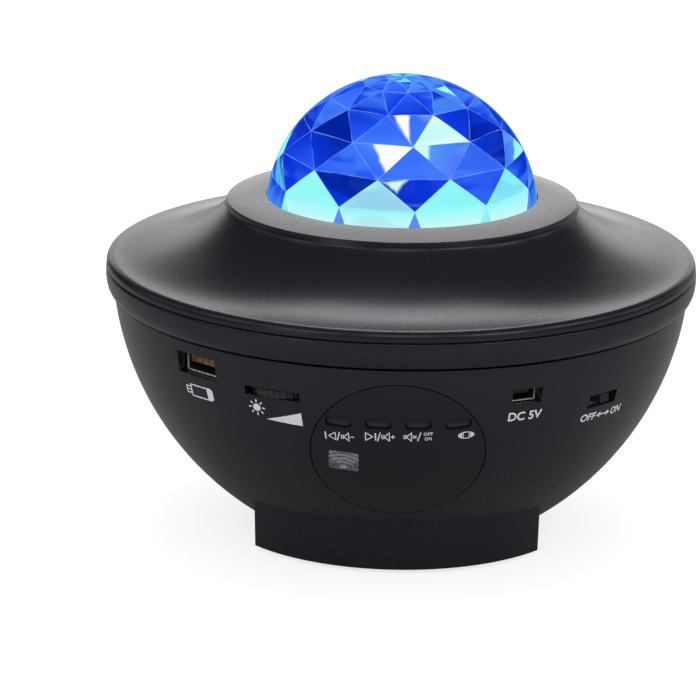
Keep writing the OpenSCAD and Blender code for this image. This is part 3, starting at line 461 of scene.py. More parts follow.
@dataclass(frozen=True)
class PlatedMetal(Finish):
    """Metal sheet, turned or rolled metal, with fine drawing lines."""

    colour: Colour
    roughness: float = 0.28
    lines: Point = (1.0, 1.0, 12.0)
    metallic: float = 0.8

    def surface(self, graph: Graph) -> Signal:
        """Fine lines and faint stains.

        Args:
            graph: Tree of the material.

        Returns:
            The shader.
        """
        place = graph.place()
        drawn = graph.noise(graph.stretched(place, self.lines), 900.0, 2.0)
        stain = graph.noise(place, 260.0, 3.0, 0.6)
        worn = tuple(c * 0.72 for c in self.colour)
        return graph.skin(
            Base_Color=graph.mixed(self.colour, worn, stain.step(0.5, 0.8) * 0.7),
            Metallic=self.metallic,
            Roughness=self.roughness + (drawn - 0.5) * 0.16 + (stain - 0.5) * 0.1,
            Normal=graph.bumped(drawn, 0.004 * MM))


@dataclass(frozen=True)
class ClearResin(Finish):
    """Clear moulded plastic or resin."""

    colour: Colour
    roughness: float = 0.04
    ripple: float = 0.01

    def surface(self, graph: Graph) -> Signal:
        """Slightly uneven clear plastic.

        Args:
            graph: Tree of the material.

        Returns:
            The shader.
        """
        place = graph.place()
        flow = graph.noise(place, 70.0, 2.0, 0.8)
        tint = graph.mixed(self.colour, tuple(c * 0.94 for c in self.colour), flow)
        return graph.skin(
            Base_Color=tint, Roughness=self.roughness + flow * 0.02, IOR=1.45, Transmission_Weight=1.0,
            Normal=graph.bumped(flow, self.ripple * MM))


@dataclass(frozen=True)
class SolderMask(Finish):
    """A board with tracks and pads under its mask."""

    mask: Colour
    track: Colour
    pad: Colour = srgb(196, 200, 204)

    def surface(self, graph: Graph) -> Signal:
        """Square-cornered tracks and scattered tinned pads.

        Args:
            graph: Tree of the material.

        Returns:
            The shader.
        """
        place = graph.place()
        routes = graph.signal(
            "ShaderNodeTexVoronoi", {"distance": "CHEBYCHEV"}, {"Vector": place, "Scale": 210.0})
        dots = graph.signal("ShaderNodeTexVoronoi", {}, {"Vector": place, "Scale": 330.0})
        tracks = (routes * 7.0 - 2.0).clamped().step(0.35, 0.6)
        pads = dots.step(0.24, 0.18)
        weave = graph.noise(place, 2600.0, 1.0)
        colour = graph.mixed(graph.mixed(self.mask, self.track, tracks), self.pad, pads)
        return graph.skin(
            Base_Color=colour, Metallic=pads * 0.9,
            Roughness=0.36 - pads * 0.1 + (weave - 0.5) * 0.08,
            Normal=graph.bumped(tracks * 0.6 + weave * 0.4 + pads, 0.03 * MM))


@dataclass(frozen=True)
class PressedPulp(Finish):
    """The pressed paper of a loudspeaker's cone, with its fibres."""

    colour: Colour = srgb(30, 29, 30)

    def surface(self, graph: Graph) -> Signal:
        """Crossing fibres.

        Args:
            graph: Tree of the material.

        Returns:
            The shader.
        """
        place = graph.place()
        fibres = graph.noise(graph.stretched(place, (1.0, 6.0, 1.0)), 700.0, 4.0, 1.5)
        crossing = graph.noise(graph.stretched(place, (6.0, 1.0, 1.0)), 700.0, 4.0, 1.5)
        felt = fibres.most(crossing)
        pale = tuple(c * 2.2 for c in self.colour)
        return graph.skin(Base_Color=graph.mixed(self.colour, pale, felt.step(0.5, 0.75)),
                          Roughness=0.86, Normal=graph.bumped(felt, 0.05 * MM))


@dataclass(frozen=True)
class Ferrite(Finish):
    """A ferrite ring between two plated plates."""

    low: float
    high: float

    def surface(self, graph: Graph) -> Signal:
        """Grainy grey ceramic, and plated steel above and below it.

        Args:
            graph: Tree of the material.

        Returns:
            The shader.
        """
        place = graph.place()
        grit = graph.noise(place, 1500.0, 3.0)
        height = place.part(2)
        plate = height.step(self.high, self.high + 0.0002).most(height.step(self.low, self.low - 0.0002))
        ceramic = graph.mixed(srgb(52, 52, 55), srgb(78, 78, 82), grit)
        return graph.skin(Base_Color=graph.mixed(ceramic, srgb(176, 180, 184), plate),
                          Metallic=plate, Roughness=0.62 - plate * 0.28 + (grit - 0.5) * 0.12,
                          Normal=graph.bumped(grit, 0.01 * MM))


@dataclass(frozen=True)
class LitLamp(Finish):
    """A lamp's resin over its phosphor, switched on."""

    glow: Colour
    strength: float = 0.6

    def surface(self, graph: Graph) -> Signal:
        """Resin that glows unevenly.

        Args:
            graph: Tree of the material.

        Returns:
            The shader.
        """
        uneven = graph.noise(graph.place(), 600.0, 1.0)
        return graph.skin(Base_Color=srgb(236, 226, 150), Roughness=0.18,
                          Emission_Color=graph.mixed(self.glow, (1.0, 1.0, 1.0), uneven),
                          Emission_Strength=self.strength, Coat_Weight=0.5)


@dataclass(frozen=True)
class PrintedInk(Finish):
    """Screen-printed ink, slightly uneven at its edges."""

    colour: Colour

    def surface(self, graph: Graph) -> Signal:
        """Ink with fine pinholes.

        Args:
            graph: Tree of the material.

        Returns:
            The shader.
        """
        pores = graph.noise(graph.place(), 3600.0, 2.0)
        worn = tuple(c * 0.62 for c in self.colour)
        return graph.skin(Base_Color=graph.mixed(worn, self.colour, pores.step(0.26, 0.42)),
                          Roughness=0.6, Normal=graph.bumped(pores, 0.006 * MM))


@dataclass(frozen=True)
class SocketShell(Finish):
    """A socket's plated shell, bright at its mouth, with painted shade inside."""

    node: str
    azimuth: float
    bright: Colour = srgb(226, 224, 218)
    inside_shade: Colour = srgb(64, 58, 52)
    rim: float = 0.45

    def surface(self, graph: Graph) -> Signal:
        """Plated sheet with painted shade behind its mouth.

        Args:
            graph: Tree of the material.

        Returns:
            The shader.
        """
        turn = math.radians(self.azimuth)
        ahead = Vector((math.sin(turn), -math.cos(turn), 0))
        front = max(vertex.co.dot(ahead) for vertex in frame["nodes"][self.node].data.vertices)
        place = graph.place()
        depth = graph.signal(
            "ShaderNodeVectorMath", {"operation": "DOT_PRODUCT"}, {0: place, 1: tuple(ahead)}, 1)
        edge, fade = front - self.rim * MM, 0.4 * self.rim * MM
        # painted shade: past its mouth the shell turns to the darker inside colour
        mouth = depth.step(edge - fade, edge + fade)
        stain = graph.noise(place, 700.0, 2.0, 0.5)
        worn = graph.mixed(self.bright, tuple(c * 0.7 for c in self.bright), stain.step(0.45, 0.7))
        return graph.skin(Base_Color=graph.mixed(self.inside_shade, worn, mouth), Metallic=0.45,
                          Roughness=0.3 + (stain - 0.5) * 0.12, Normal=graph.bumped(stain, 0.003 * MM))


@dataclass(frozen=True)
class GiltTongue(Finish):
    """A socket's tongue: dark plastic that carries gilt contact leaves."""

    turn: float
    pitch: float = 2.5

    def surface(self, graph: Graph) -> Signal:
        """Gilt leaves side by side, a little worn.

        Args:
            graph: Tree of the material.

        Returns:
            The shader.
        """
        place = graph.place()
        local = graph.signal("ShaderNodeMapping", {"vector_type": "POINT"},
                             {0: place, "Rotation": (0, 0, -self.turn)})
        step = local.part(0) / (self.pitch * MM) + 0.5
        leaf = step.fraction()
        gilt = leaf.step(0.08, 0.16) * leaf.step(0.92, 0.84)
        wear = graph.noise(place, 900.0, 3.0)
        gold = graph.mixed(srgb(172, 132, 92), srgb(104, 76, 52), wear.step(0.35, 0.7))
        body = graph.mixed(srgb(66, 48, 38), srgb(92, 68, 52), wear)
        return graph.skin(Base_Color=graph.mixed(body, gold, gilt), Metallic=gilt * 0.5,
                          Roughness=0.42 - gilt * 0.12, Normal=graph.bumped(gilt, 0.05 * MM))


@dataclass(frozen=True)
class SmokedWindow(Finish):
    """The speckled window over the receiver of the remote control, with its wave mark."""

    centre: Point
    tilt: float
    dark: Colour = srgb(72, 70, 80)
    pale: Colour = srgb(132, 130, 140)
    mark: Colour = srgb(168, 168, 178)

    def surface(self, graph: Graph) -> Signal:
        """Speckles, and arcs that open upwards from a dot.

        Args:
            graph: Tree of the material.

        Returns:
            The shader.
        """
        place = graph.place()
        local = graph.signal("ShaderNodeMapping", {"vector_type": "TEXTURE"}, {
            0: place, "Location": self.centre, "Rotation": (math.radians(90) + self.tilt, 0, 0)})
        across, up = local.part(0), local.part(1)
        speck = graph.noise(place, 2300.0, 1.0)
        radius = graph.signal("ShaderNodeVectorMath", {"operation": "LENGTH"},
                              {0: graph.stretched(local, (0.8, 1.0, 0.0), (0.0, 2.2 * MM, 0.0))}, 1)
        wave = (radius / (1.25 * MM)).fraction()
        rings = wave.step(0.3, 0.42) * wave.step(0.78, 0.66)
        fan = (up + 2.2 * MM - across.size() * 0.62).step(0.0, 0.3 * MM)
        ends = radius.step(1.3 * MM, 1.5 * MM) * radius.step(5.9 * MM, 5.7 * MM)
        dot = radius.step(0.75 * MM, 0.6 * MM)
        shown = (rings * fan * ends).most(dot)
        ground = graph.mixed(self.dark, self.pale, speck.step(0.4, 0.62))
        return graph.skin(Base_Color=graph.mixed(ground, self.mark, shown * 0.8),
                          Roughness=0.5, Normal=graph.bumped(speck, 0.01 * MM))


@dataclass(frozen=True)
class CutCrystal(Finish):
    """The facets inside the dome, which glow with painted light: each carries its own tints, streaks, a
    painted light patch and painted highlights along its edges.
    """

    glow: float = GLOW

    def surface(self, graph: Graph) -> Signal:
        """Reads what the facets carry.

        Args:
            graph: Tree of the material.

        Returns:
            The shader.
        """
        tint, light = graph.attribute("tint"), graph.attribute("light")
        streaked = graph.attribute("tint", "Alpha")
        edges, patch = graph.attribute("edges"), graph.attribute("patch")
        lined = graph.attribute("edges", "Alpha")
        flat = graph.signal("ShaderNodeUVMap", {"uv_map": "facet"})
        waves = graph.noise(graph.stretched(flat, (0.45, 1.5, 1.0)), 0.9, 1.5, 0.7)
        bits = graph.noise(flat, 1.9, 2.0, 0.6)
        inside = patch.part(0).least(patch.part(1)).least(patch.part(2))
        # painted light: a pale patch on the facet
        painted_light_patch = (inside - PATCH_ZERO + (bits - 0.5) * 1.5).step(-0.3, 0.8)
        streak = waves.step(0.48, 0.62) * streaked
        body = graph.mixed(tint, light, painted_light_patch.most(streak))
        near = edges.part(0).least(edges.part(1)).least(edges.part(2))
        # painted highlight along the facet's edges
        painted_edge_highlight = near.step(0.16, 0.05) * lined * bits.step(0.30, 0.62)
        colour = graph.mixed(body, lit(140, 190, 255), painted_edge_highlight)
        # the facets glow by emission: painted light of the lamp seen through the crystal
        return graph.skin(Base_Color=(0.0, 0.0, 0.0), Roughness=0.35, Specular_IOR_Level=0.0,
                          Emission_Color=colour, Emission_Strength=self.glow)


@dataclass(frozen=True)
class TintedShell(Finish):
    """The clear outside of the dome, whose wall is tinted in its depth."""

    tint: Colour = (0.42, 0.80, 1.0)
    density: float = 40.0
    bend: float = 1.45
    sheen: Colour = (0.45, 0.85, 1.0)
    ahead: float = 0.006
    rim: float = 0.2
    edge: Colour = srgb(92, 186, 226)
    painted_rim_glow_share: float = 0.75

    def surface(self, graph: Graph) -> Signal:
        """Polished clear plastic, glossier where it is seen from the side, with a painted cyan glow at its
        edge there.

        Args:
            graph: Tree of the material.

        Returns:
            The shader.
        """
        clear = graph.signal("ShaderNodeBsdfRefraction", {}, {
            "Color": (0.98, 0.995, 1.0), "Roughness": 0.0, "IOR": self.bend})
        gloss = graph.signal("ShaderNodeBsdfGlossy", {}, {"Color": self.sheen, "Roughness": 0.08})
        facing = graph.signal("ShaderNodeLayerWeight", {}, {"Blend": 0.5}, "Facing")
        glow = graph.signal("ShaderNodeEmission", {}, {"Color": self.edge, "Strength": 1.0})
        body = graph.signal("ShaderNodeMixShader", {}, {
            0: self.ahead + facing.step(0.80, 1.0) * self.rim, 1: clear, 2: gloss})
        # painted light: a cyan glow mixed in where the shell is seen edge-on
        return graph.signal("ShaderNodeMixShader", {}, {
            0: facing.step(0.84, 0.97) * self.painted_rim_glow_share, 1: body, 2: glow})

    def volume(self, graph: Graph) -> Signal | None:
        """The tint of the wall, deeper where light runs along it.

        Args:
            graph: Tree of the material.

        Returns:
            The shader of its inside.
        """
        return graph.signal("ShaderNodeVolumeAbsorption", {}, {"Color": self.tint, "Density": self.density})


# --------------------------------------------------------------------------- modelling


class Part(Enum):
    """What is selected in edit mode."""

    CORNER = "VERT"
    EDGE = "EDGE"
    FACE = "FACE"


class Bench:
    """Modelling steps that the pieces share."""

    @staticmethod
    def clear() -> None:
        """Leaves edit mode with nothing selected."""
        if bpy.context.mode != "OBJECT":
            bpy.ops.object.mode_set(mode="OBJECT")
        bpy.ops.object.select_all(action="DESELECT")

    @staticmethod
    def choose(piece: bpy.types.Object) -> None:
        """Makes a piece the only one selected.

        Args:
            piece: Piece to work on.
        """
        Bench.clear()
        piece.select_set(True)
        bpy.context.view_layer.objects.active = piece

    @staticmethod
    def name(name: str) -> bpy.types.Object:
        """Names the piece that was just added.

        Args:
            name: Its name.

        Returns:
            The piece.
        """
        piece = bpy.context.object
        piece.name = piece.data.name = name
        return piece

    @staticmethod
    def pick(piece: bpy.types.Object, part: Part, wanted: Callable[[Vector], bool]) -> None:
        """Selects parts of a piece in edit mode by a test, and nothing else.

        Args:
            piece: Piece in edit mode.
            part: Whether corners, edges or faces are selected.
            wanted: Test of a corner's place, or of the middle of an edge or a face.
        """
        bpy.ops.mesh.select_mode(type=part.value)
        bpy.ops.mesh.select_all(action="DESELECT")
        bpy.ops.object.mode_set(mode="OBJECT")
        mesh = piece.data
        if part is Part.CORNER:
            for vertex in mesh.vertices:
                vertex.select = wanted(vertex.co)
        elif part is Part.FACE:
            for face in mesh.polygons:
                face.select = wanted(face.center)
        else:
            for edge in mesh.edges:
                start, end = (mesh.vertices[i].co for i in edge.vertices)
                edge.select = wanted((start + end) / 2)
        bpy.ops.object.mode_set(mode="EDIT")

    @staticmethod
    def lathe(name: str, outline: list[Corner], steps: int = 192,
              closed: bool = True) -> bpy.types.Object:
        """Spins an outline round the lamp's axis.

        Args:
            name: Name of the piece.
            outline: Radius and height of each corner in millimetres, in turn.
            steps: Steps of the spin.
            closed: Whether the last corner runs back to the first.

        Returns:
            The piece.
        """
        Bench.clear()
        radius, height = outline[0]
        bpy.ops.mesh.primitive_plane_add(size=MM, location=(0, 0, 0))
        piece = Bench.name(name)
        bpy.ops.object.mode_set(mode="EDIT")
        bpy.ops.mesh.select_mode(type="VERT")
        bpy.ops.mesh.select_all(action="SELECT")
        bpy.ops.mesh.merge(type="CENTER")
        bpy.ops.transform.translate(value=(radius * MM, 0, height * MM))
        for (r0, z0), (r1, z1) in zip(outline, outline[1:] + outline[:closed]):
            bpy.ops.mesh.extrude_region_move(
                TRANSFORM_OT_translate={"value": ((r1 - r0) * MM, 0, (z1 - z0) * MM)})
        bpy.ops.mesh.select_all(action="SELECT")
        bpy.ops.mesh.remove_doubles(threshold=1e-6)
        bpy.ops.mesh.select_all(action="SELECT")
        bpy.ops.mesh.spin(steps=steps, angle=2 * math.pi, center=(0, 0, 0), axis=(0, 0, 1))
        Bench.close(piece)
        return piece

    @staticmethod
    def close(piece: bpy.types.Object) -> None:
        """Merges doubles and turns the faces outwards.

        Args:
            piece: Piece to close.
        """
        Bench.choose(piece)
        bpy.ops.object.mode_set(mode="EDIT")
        bpy.ops.mesh.select_all(action="SELECT")
        bpy.ops.mesh.remove_doubles(threshold=2e-6)
        bpy.ops.mesh.normals_make_consistent(inside=False)
        bpy.ops.object.mode_set(mode="OBJECT")

    @staticmethod
    def modify(piece: bpy.types.Object, kind: str, **settings: object) -> None:
        """Adds a modifier and applies it.

        Args:
            piece: Piece to change.
            kind: Type of the modifier.
            settings: Its properties.
        """
        Bench.choose(piece)
        modifier = piece.modifiers.new(kind.title(), kind)
        for key, value in settings.items():
            setattr(modifier, key, value)
        bpy.ops.object.modifier_apply(modifier=modifier.name)

    @staticmethod
    def smooth(piece: bpy.types.Object, degrees: float = 30.0) -> None:
        """Shades a piece smooth where its faces meet at less than an angle.

        Args:
            piece: Piece to shade.
            degrees: The angle.
        """
        Bench.choose(piece)
        bpy.ops.object.shade_smooth_by_angle(angle=math.radians(degrees))

    @staticmethod
    def fix(piece: bpy.types.Object) -> None:
        """Applies a piece's place to its mesh.

        Args:
            piece: Piece to fix.
        """
        Bench.choose(piece)
        bpy.ops.object.transform_apply(location=True, rotation=True, scale=True)

    @staticmethod
    def settle(piece: bpy.types.Object, finish: Finish, slot: str, *replaced: str) -> None:
        """Dresses a piece and fastens it to the housing.

        Args:
            piece: Finished piece.
            finish: Its finish.
            slot: Material slot of the record; not used.
            replaced: Nodes that it stands for.
        """
        finish.dress(piece)
        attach(piece, HOUSING)
        if replaced:
            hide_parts(*replaced)
        log.info("%s: %d faces on %s", piece.name, len(piece.data.polygons), HOUSING)


def arc(x: float, z: float, radius: float, start: float, end: float, steps: int) -> list[Corner]:
    """Corners on an arc.

    Args:
        x: Radius at which its centre stands, in millimetres.
        z: Height of its centre.
        radius: Its own radius.
        start: First angle in degrees, from upright towards the outside.
        end: Last angle.
        steps: Steps between them.

    Returns:
        The corners.
    """
    turns = (math.radians(start + (end - start) * k / steps) for k in range(steps + 1))
    return [(x + radius * math.sin(t), z + radius * math.cos(t)) for t in turns]


@dataclass
class RimBand:
    """The ring between the cover and the bowl, which bulges and then draws in to the bowl."""

    finish: Finish
    outer: float = 83.1
    inner: float = 79.0
    seat: float = 81.0
    rest: float = 68.7
    low: float = 67.45
    top: float = 74.7
    step: float = 2.2
    edge: float = 0.5
    bulge: tuple[Corner, ...] = ((0.28, 0.0), (0.75, 0.42), (1.3, 1.2), (1.72, 2.2), (1.96, 3.2), (2.1, 4.4))

    def outline(self) -> list[Corner]:
        """Its section in millimetres: a bulging outside that draws in below, over a ledge.

        Returns:
            The section's corners.
        """
        bulge = [(self.seat + out, self.low + up) for out, up in self.bulge]
        rounded = arc(self.outer - self.edge, self.top - self.edge, self.edge, 90, 0, 5)
        ledge = self.rest + self.step
        return [(self.inner, self.rest), (self.seat, self.rest), (self.seat, self.low), *bulge, *rounded,
                (self.seat, self.top), (self.seat, ledge), (self.inner, ledge)]

    def build(self) -> None:
        """Spins the section."""
        band = Bench.lathe("rim_band_ring", self.outline(), 240)
        Bench.smooth(band, 40)
        Bench.settle(band, self.finish, "shell_black", "rim_band")


@dataclass
class TopCover:
    """The cover: a finer outside, with a tighter round at the shoulder, over its solid's own inside."""

    finish: Finish
    mouth: float = 38.0
    mouth_top: float = 94.45
    bore: float = 38.75
    collar: float = 49.3
    collar_top: float = 93.2
    flare_top: float = 91.4
    lip: float = 82.9
    lip_z: float = 75.0
    crest: float = 77.85
    shoulder: float = 2.0
    rounding: float = 0.45
    solid_shoulder: float = 4.6
    solid_flare: float = 41.5356
    steps: int = 240

    def outline(self) -> list[Corner]:
        """Its outside in section, from the mouth over the collar and down the flare to the lip.

        Returns:
            Radius and height of each corner in millimetres.
        """
        soft = self.rounding
        mouth = arc(self.mouth + soft, self.mouth_top - soft, soft, -90, 0, 4)
        collar = arc(self.collar - soft, self.collar_top - soft, soft, 0, 90, 5)
        centre, low = self.lip - self.shoulder, self.crest
        rise, run = self.flare_top - low, centre - self.collar
        radius = (run * run + rise * rise) / (2 * rise)
        reach = math.degrees(math.asin(run / radius))
        flare = arc(centre, low + radius, radius, 180 + reach * 0.985, 180, 30)
        shoulder = arc(centre, low - self.shoulder, self.shoulder, 0, 90, 14)
        return mouth + collar + [(self.collar, self.flare_top + 0.25)] + flare + shoulder[1:] + [
            (self.lip, self.lip_z + 0.3)]

    def build(self) -> None:
        """Puts a new outside on a copy of the solid's inside."""
        skin = Bench.lathe("cover_skin", self.outline(), self.steps, closed=False)
        solid = frame["nodes"]["top_cover"]
        cover = solid.copy()
        cover.data = solid.data.copy()
        bpy.context.scene.collection.objects.link(cover)
        Bench.close(cover)
        bpy.ops.object.mode_set(mode="EDIT")
        Bench.pick(cover, Part.FACE, self._outside)
        bpy.ops.mesh.delete(type="FACE")
        self._slide(cover, self.bore, self.collar_top, self.collar_top - self.rounding - 0.1)
        Bench.clear()
        cover.select_set(True)
        skin.select_set(True)
        bpy.context.view_layer.objects.active = skin
        bpy.ops.object.join()
        cover = Bench.name("cover_shell")
        bpy.ops.object.mode_set(mode="EDIT")
        for high in (True, False):
            bpy.ops.mesh.select_mode(type="EDGE")
            bpy.ops.mesh.select_all(action="DESELECT")
            bpy.ops.mesh.select_non_manifold()
            self._keep(cover, high)
            bpy.ops.mesh.bridge_edge_loops()
        Bench.close(cover)
        Bench.smooth(cover, 35)
        Bench.settle(cover, self.finish, "shell_black", "top_cover")

    def _outside(self, middle: Vector) -> bool:
        """Tells whether a face of the solid lies on the outside above the lip.

        Args:
            middle: Middle of the face, in metres.

        Returns:
            Whether it does.
        """
        radius, height = math.hypot(middle.x, middle.y) / MM, middle.z / MM
        if radius <= self.collar - 0.3:
            return height > self.collar_top - 0.05
        centre = self.lip - self.solid_shoulder
        if radius >= centre:
            reach = math.hypot(radius - centre, height - self.lip_z)
            return height > self.lip_z and reach > self.solid_shoulder - 0.4
        sag = self.solid_flare - math.sqrt(self.solid_flare ** 2 - (centre - radius) ** 2)
        return height > self.lip_z + self.solid_shoulder + sag - 0.35

    @staticmethod
    def _slide(cover: bpy.types.Object, radius: float, old: float, new: float) -> None:
        """Slides one ring of corners from a height to another.

        Args:
            cover: Cover in edit mode.
            radius: Radius of the ring.
            old: Its height.
            new: Height that it takes.
        """
        Bench.pick(cover, Part.CORNER, lambda place: abs(math.hypot(place.x, place.y) / MM - radius) < 0.05
                   and abs(place.z / MM - old) < 0.02)
        bpy.ops.transform.translate(value=(0, 0, (new - old) * MM))

    def _keep(self, cover: bpy.types.Object, high: bool) -> None:
        """Keeps only the selected edges at the mouth, or only those at the lip.

        Args:
            cover: Cover in edit mode.
            high: Whether those at the mouth stay.
        """
        bpy.ops.object.mode_set(mode="OBJECT")
        mesh = cover.data
        for edge in mesh.edges:
            place = mesh.vertices[edge.vertices[0]].co
            near = abs(math.hypot(place.x, place.y) / MM - (self.mouth if high else self.lip)) < 0.7
            edge.select = edge.select and near and (place.z / MM > 85) == high
        for vertex in mesh.vertices:
            vertex.select = False
        for edge in mesh.edges:
            if edge.select:
                for index in edge.vertices:
                    mesh.vertices[index].select = True
        bpy.ops.object.mode_set(mode="EDIT")


# --------------------------------------------------------------------------- dome


class Light(Enum):
    """Colours of light in the facets."""

    WHITE = lit(246, 252, 255)
    PALE = lit(206, 250, 241)
    MINT = lit(152, 251, 245)
    CYAN = lit(118, 236, 250)
    SKY = lit(88, 168, 248)
    LILAC = lit(150, 180, 228)
    PERIWINKLE = lit(94, 138, 228)
    VIOLET = lit(80, 114, 246)
    MEDIUM = lit(62, 120, 248)
    BRIGHT = lit(42, 94, 248)
    ROYAL = lit(14, 58, 226)
    DEEP = lit(8, 46, 200)
    NAVY = lit(3, 34, 156)


class Stand(Enum):
    """How a facet stands in the crystal."""

    TALL = "tall"
    FOOT = "foot"
    UP = "up"
    DOWN = "down"
    CROWN = "crown"


@dataclass(frozen=True)
class Facet:
    """How one facet is lit: a tint at each corner, and the light that streaks and patches it."""

    corners: tuple[Light, ...]
    light: Light = Light.SKY
    streaks: float = 0.35
    patch: tuple[Corner, ...] = ()
    lines: float = 0.6


Kind = tuple[int, Stand, float]
L = Light
UP, DOWN = Stand.UP, Stand.DOWN
PALE_FACETS = (
    Facet((L.MINT, L.PALE, L.MINT), L.LILAC, 0.55),
    Facet((L.LILAC, L.MINT, L.MINT), L.LILAC, 0.7),
    Facet((L.MINT, L.MINT, L.PALE), L.CYAN, 0.9),
)
BLUE_FACETS = (
    Facet((L.MEDIUM, L.MEDIUM, L.BRIGHT), L.SKY, 0.25),
    Facet((L.ROYAL, L.BRIGHT, L.DEEP), L.BRIGHT, 0.5),
    Facet((L.NAVY, L.DEEP, L.ROYAL), L.BRIGHT, 0.5),
    Facet((L.ROYAL, L.MEDIUM, L.ROYAL), L.SKY, 0.4),
    Facet((L.MEDIUM, L.SKY, L.VIOLET), L.MINT, 0.15, ((0.25, -0.1), (1.2, -0.1), (0.9, 0.75))),
)
FACETS: dict[Kind, Facet] = {
    # first band: dark triangles that stand on their points between the pale ones
    (0, DOWN, 0): Facet((L.DEEP, L.ROYAL, L.DEEP), L.PALE, 0.15, ((0.02, 0.03), (0.42, -0.02), (0.26, 0.42))),
    (0, DOWN, -1): Facet((L.NAVY, L.DEEP, L.ROYAL), L.NAVY, 0.85),
    (0, DOWN, 1): Facet((L.ROYAL, L.ROYAL, L.BRIGHT), L.MEDIUM, 0.4),
    (0, DOWN, -2): Facet((L.DEEP, L.ROYAL, L.ROYAL), L.SKY, 0.35),
    (0, DOWN, 2): Facet((L.ROYAL, L.DEEP, L.ROYAL), L.SKY, 0.35),
    (0, UP, -2.5): Facet((L.ROYAL, L.SKY, L.DEEP), L.CYAN, 0.5, lines=0.5),
    (0, UP, 2.5): Facet((L.SKY, L.ROYAL, L.DEEP), L.CYAN, 0.4, lines=0.5),
    (0, UP, -1.5): Facet((L.MINT, L.MINT, L.MINT), L.CYAN, 0.7, lines=0.0),
    (0, UP, -0.5): Facet((L.MINT, L.MINT, L.MINT), L.LILAC, 0.6, lines=0.0),
    (0, UP, 0.5): Facet((L.MINT, L.MINT, L.MINT), L.CYAN, 0.35, lines=0.0),
    (0, UP, 1.5): Facet((L.MINT, L.MINT, L.CYAN), L.SKY, 0.3, lines=0.0),
    # second band
    (1, UP, 0): Facet((L.MEDIUM, L.MEDIUM, L.MEDIUM), L.BRIGHT, 0.4),
    (1, UP, -1): Facet((L.BRIGHT, L.MEDIUM, L.MEDIUM), L.ROYAL, 0.6),
    (1, UP, 1): Facet((L.MEDIUM, L.MEDIUM, L.MEDIUM), L.ROYAL, 0.4),
    (1, DOWN, -0.5): Facet((L.MEDIUM, L.SKY, L.BRIGHT), L.WHITE, 0.1,
                           ((0.3, -0.12), (1.3, -0.12), (0.62, 0.86))),
    (1, DOWN, 0.5): Facet((L.SKY, L.MEDIUM, L.VIOLET), L.PALE, 0.1,
                          ((-0.3, -0.1), (0.24, -0.1), (0.22, 0.5))),
    (1, DOWN, -1.5): Facet((L.DEEP, L.NAVY, L.ROYAL), L.BRIGHT, 0.35),
    (1, DOWN, 1.5): Facet((L.ROYAL, L.NAVY, L.NAVY), L.BRIGHT, 0.3),
    # third band
    (2, UP, -0.5): Facet((L.MEDIUM, L.MEDIUM, L.BRIGHT), L.SKY, 0.15),
    (2, UP, 0.5): Facet((L.PALE, L.WHITE, L.PALE), L.MINT, 0.5, lines=0.0),
    (2, UP, -1.5): Facet((L.NAVY, L.NAVY, L.NAVY), L.DEEP, 0.3),
    (2, UP, 1.5): Facet((L.NAVY, L.DEEP, L.NAVY), L.ROYAL, 0.5),
    (2, DOWN, 0): Facet((L.BRIGHT, L.MEDIUM, L.MEDIUM), L.WHITE, 0.15,
                        ((0.08, -0.1), (0.48, -0.1), (0.44, 0.98))),
    (2, DOWN, -1): Facet((L.DEEP, L.ROYAL, L.BRIGHT), L.MEDIUM, 0.4),
    (2, DOWN, 1): Facet((L.ROYAL, L.DEEP, L.ROYAL), L.MEDIUM, 0.4),
    # fourth band
    (3, UP, 0): Facet((L.ROYAL, L.DEEP, L.BRIGHT), L.BRIGHT, 0.5),
    (3, UP, -1): Facet((L.DEEP, L.ROYAL, L.BRIGHT), L.SKY, 0.5),
    (3, UP, 1): Facet((L.BRIGHT, L.ROYAL, L.DEEP), L.SKY, 0.5),
    (3, DOWN, -0.5): Facet((L.BRIGHT, L.ROYAL, L.ROYAL), L.SKY, 0.4),
    (3, DOWN, 0.5): Facet((L.ROYAL, L.BRIGHT, L.ROYAL), L.SKY, 0.3),
}


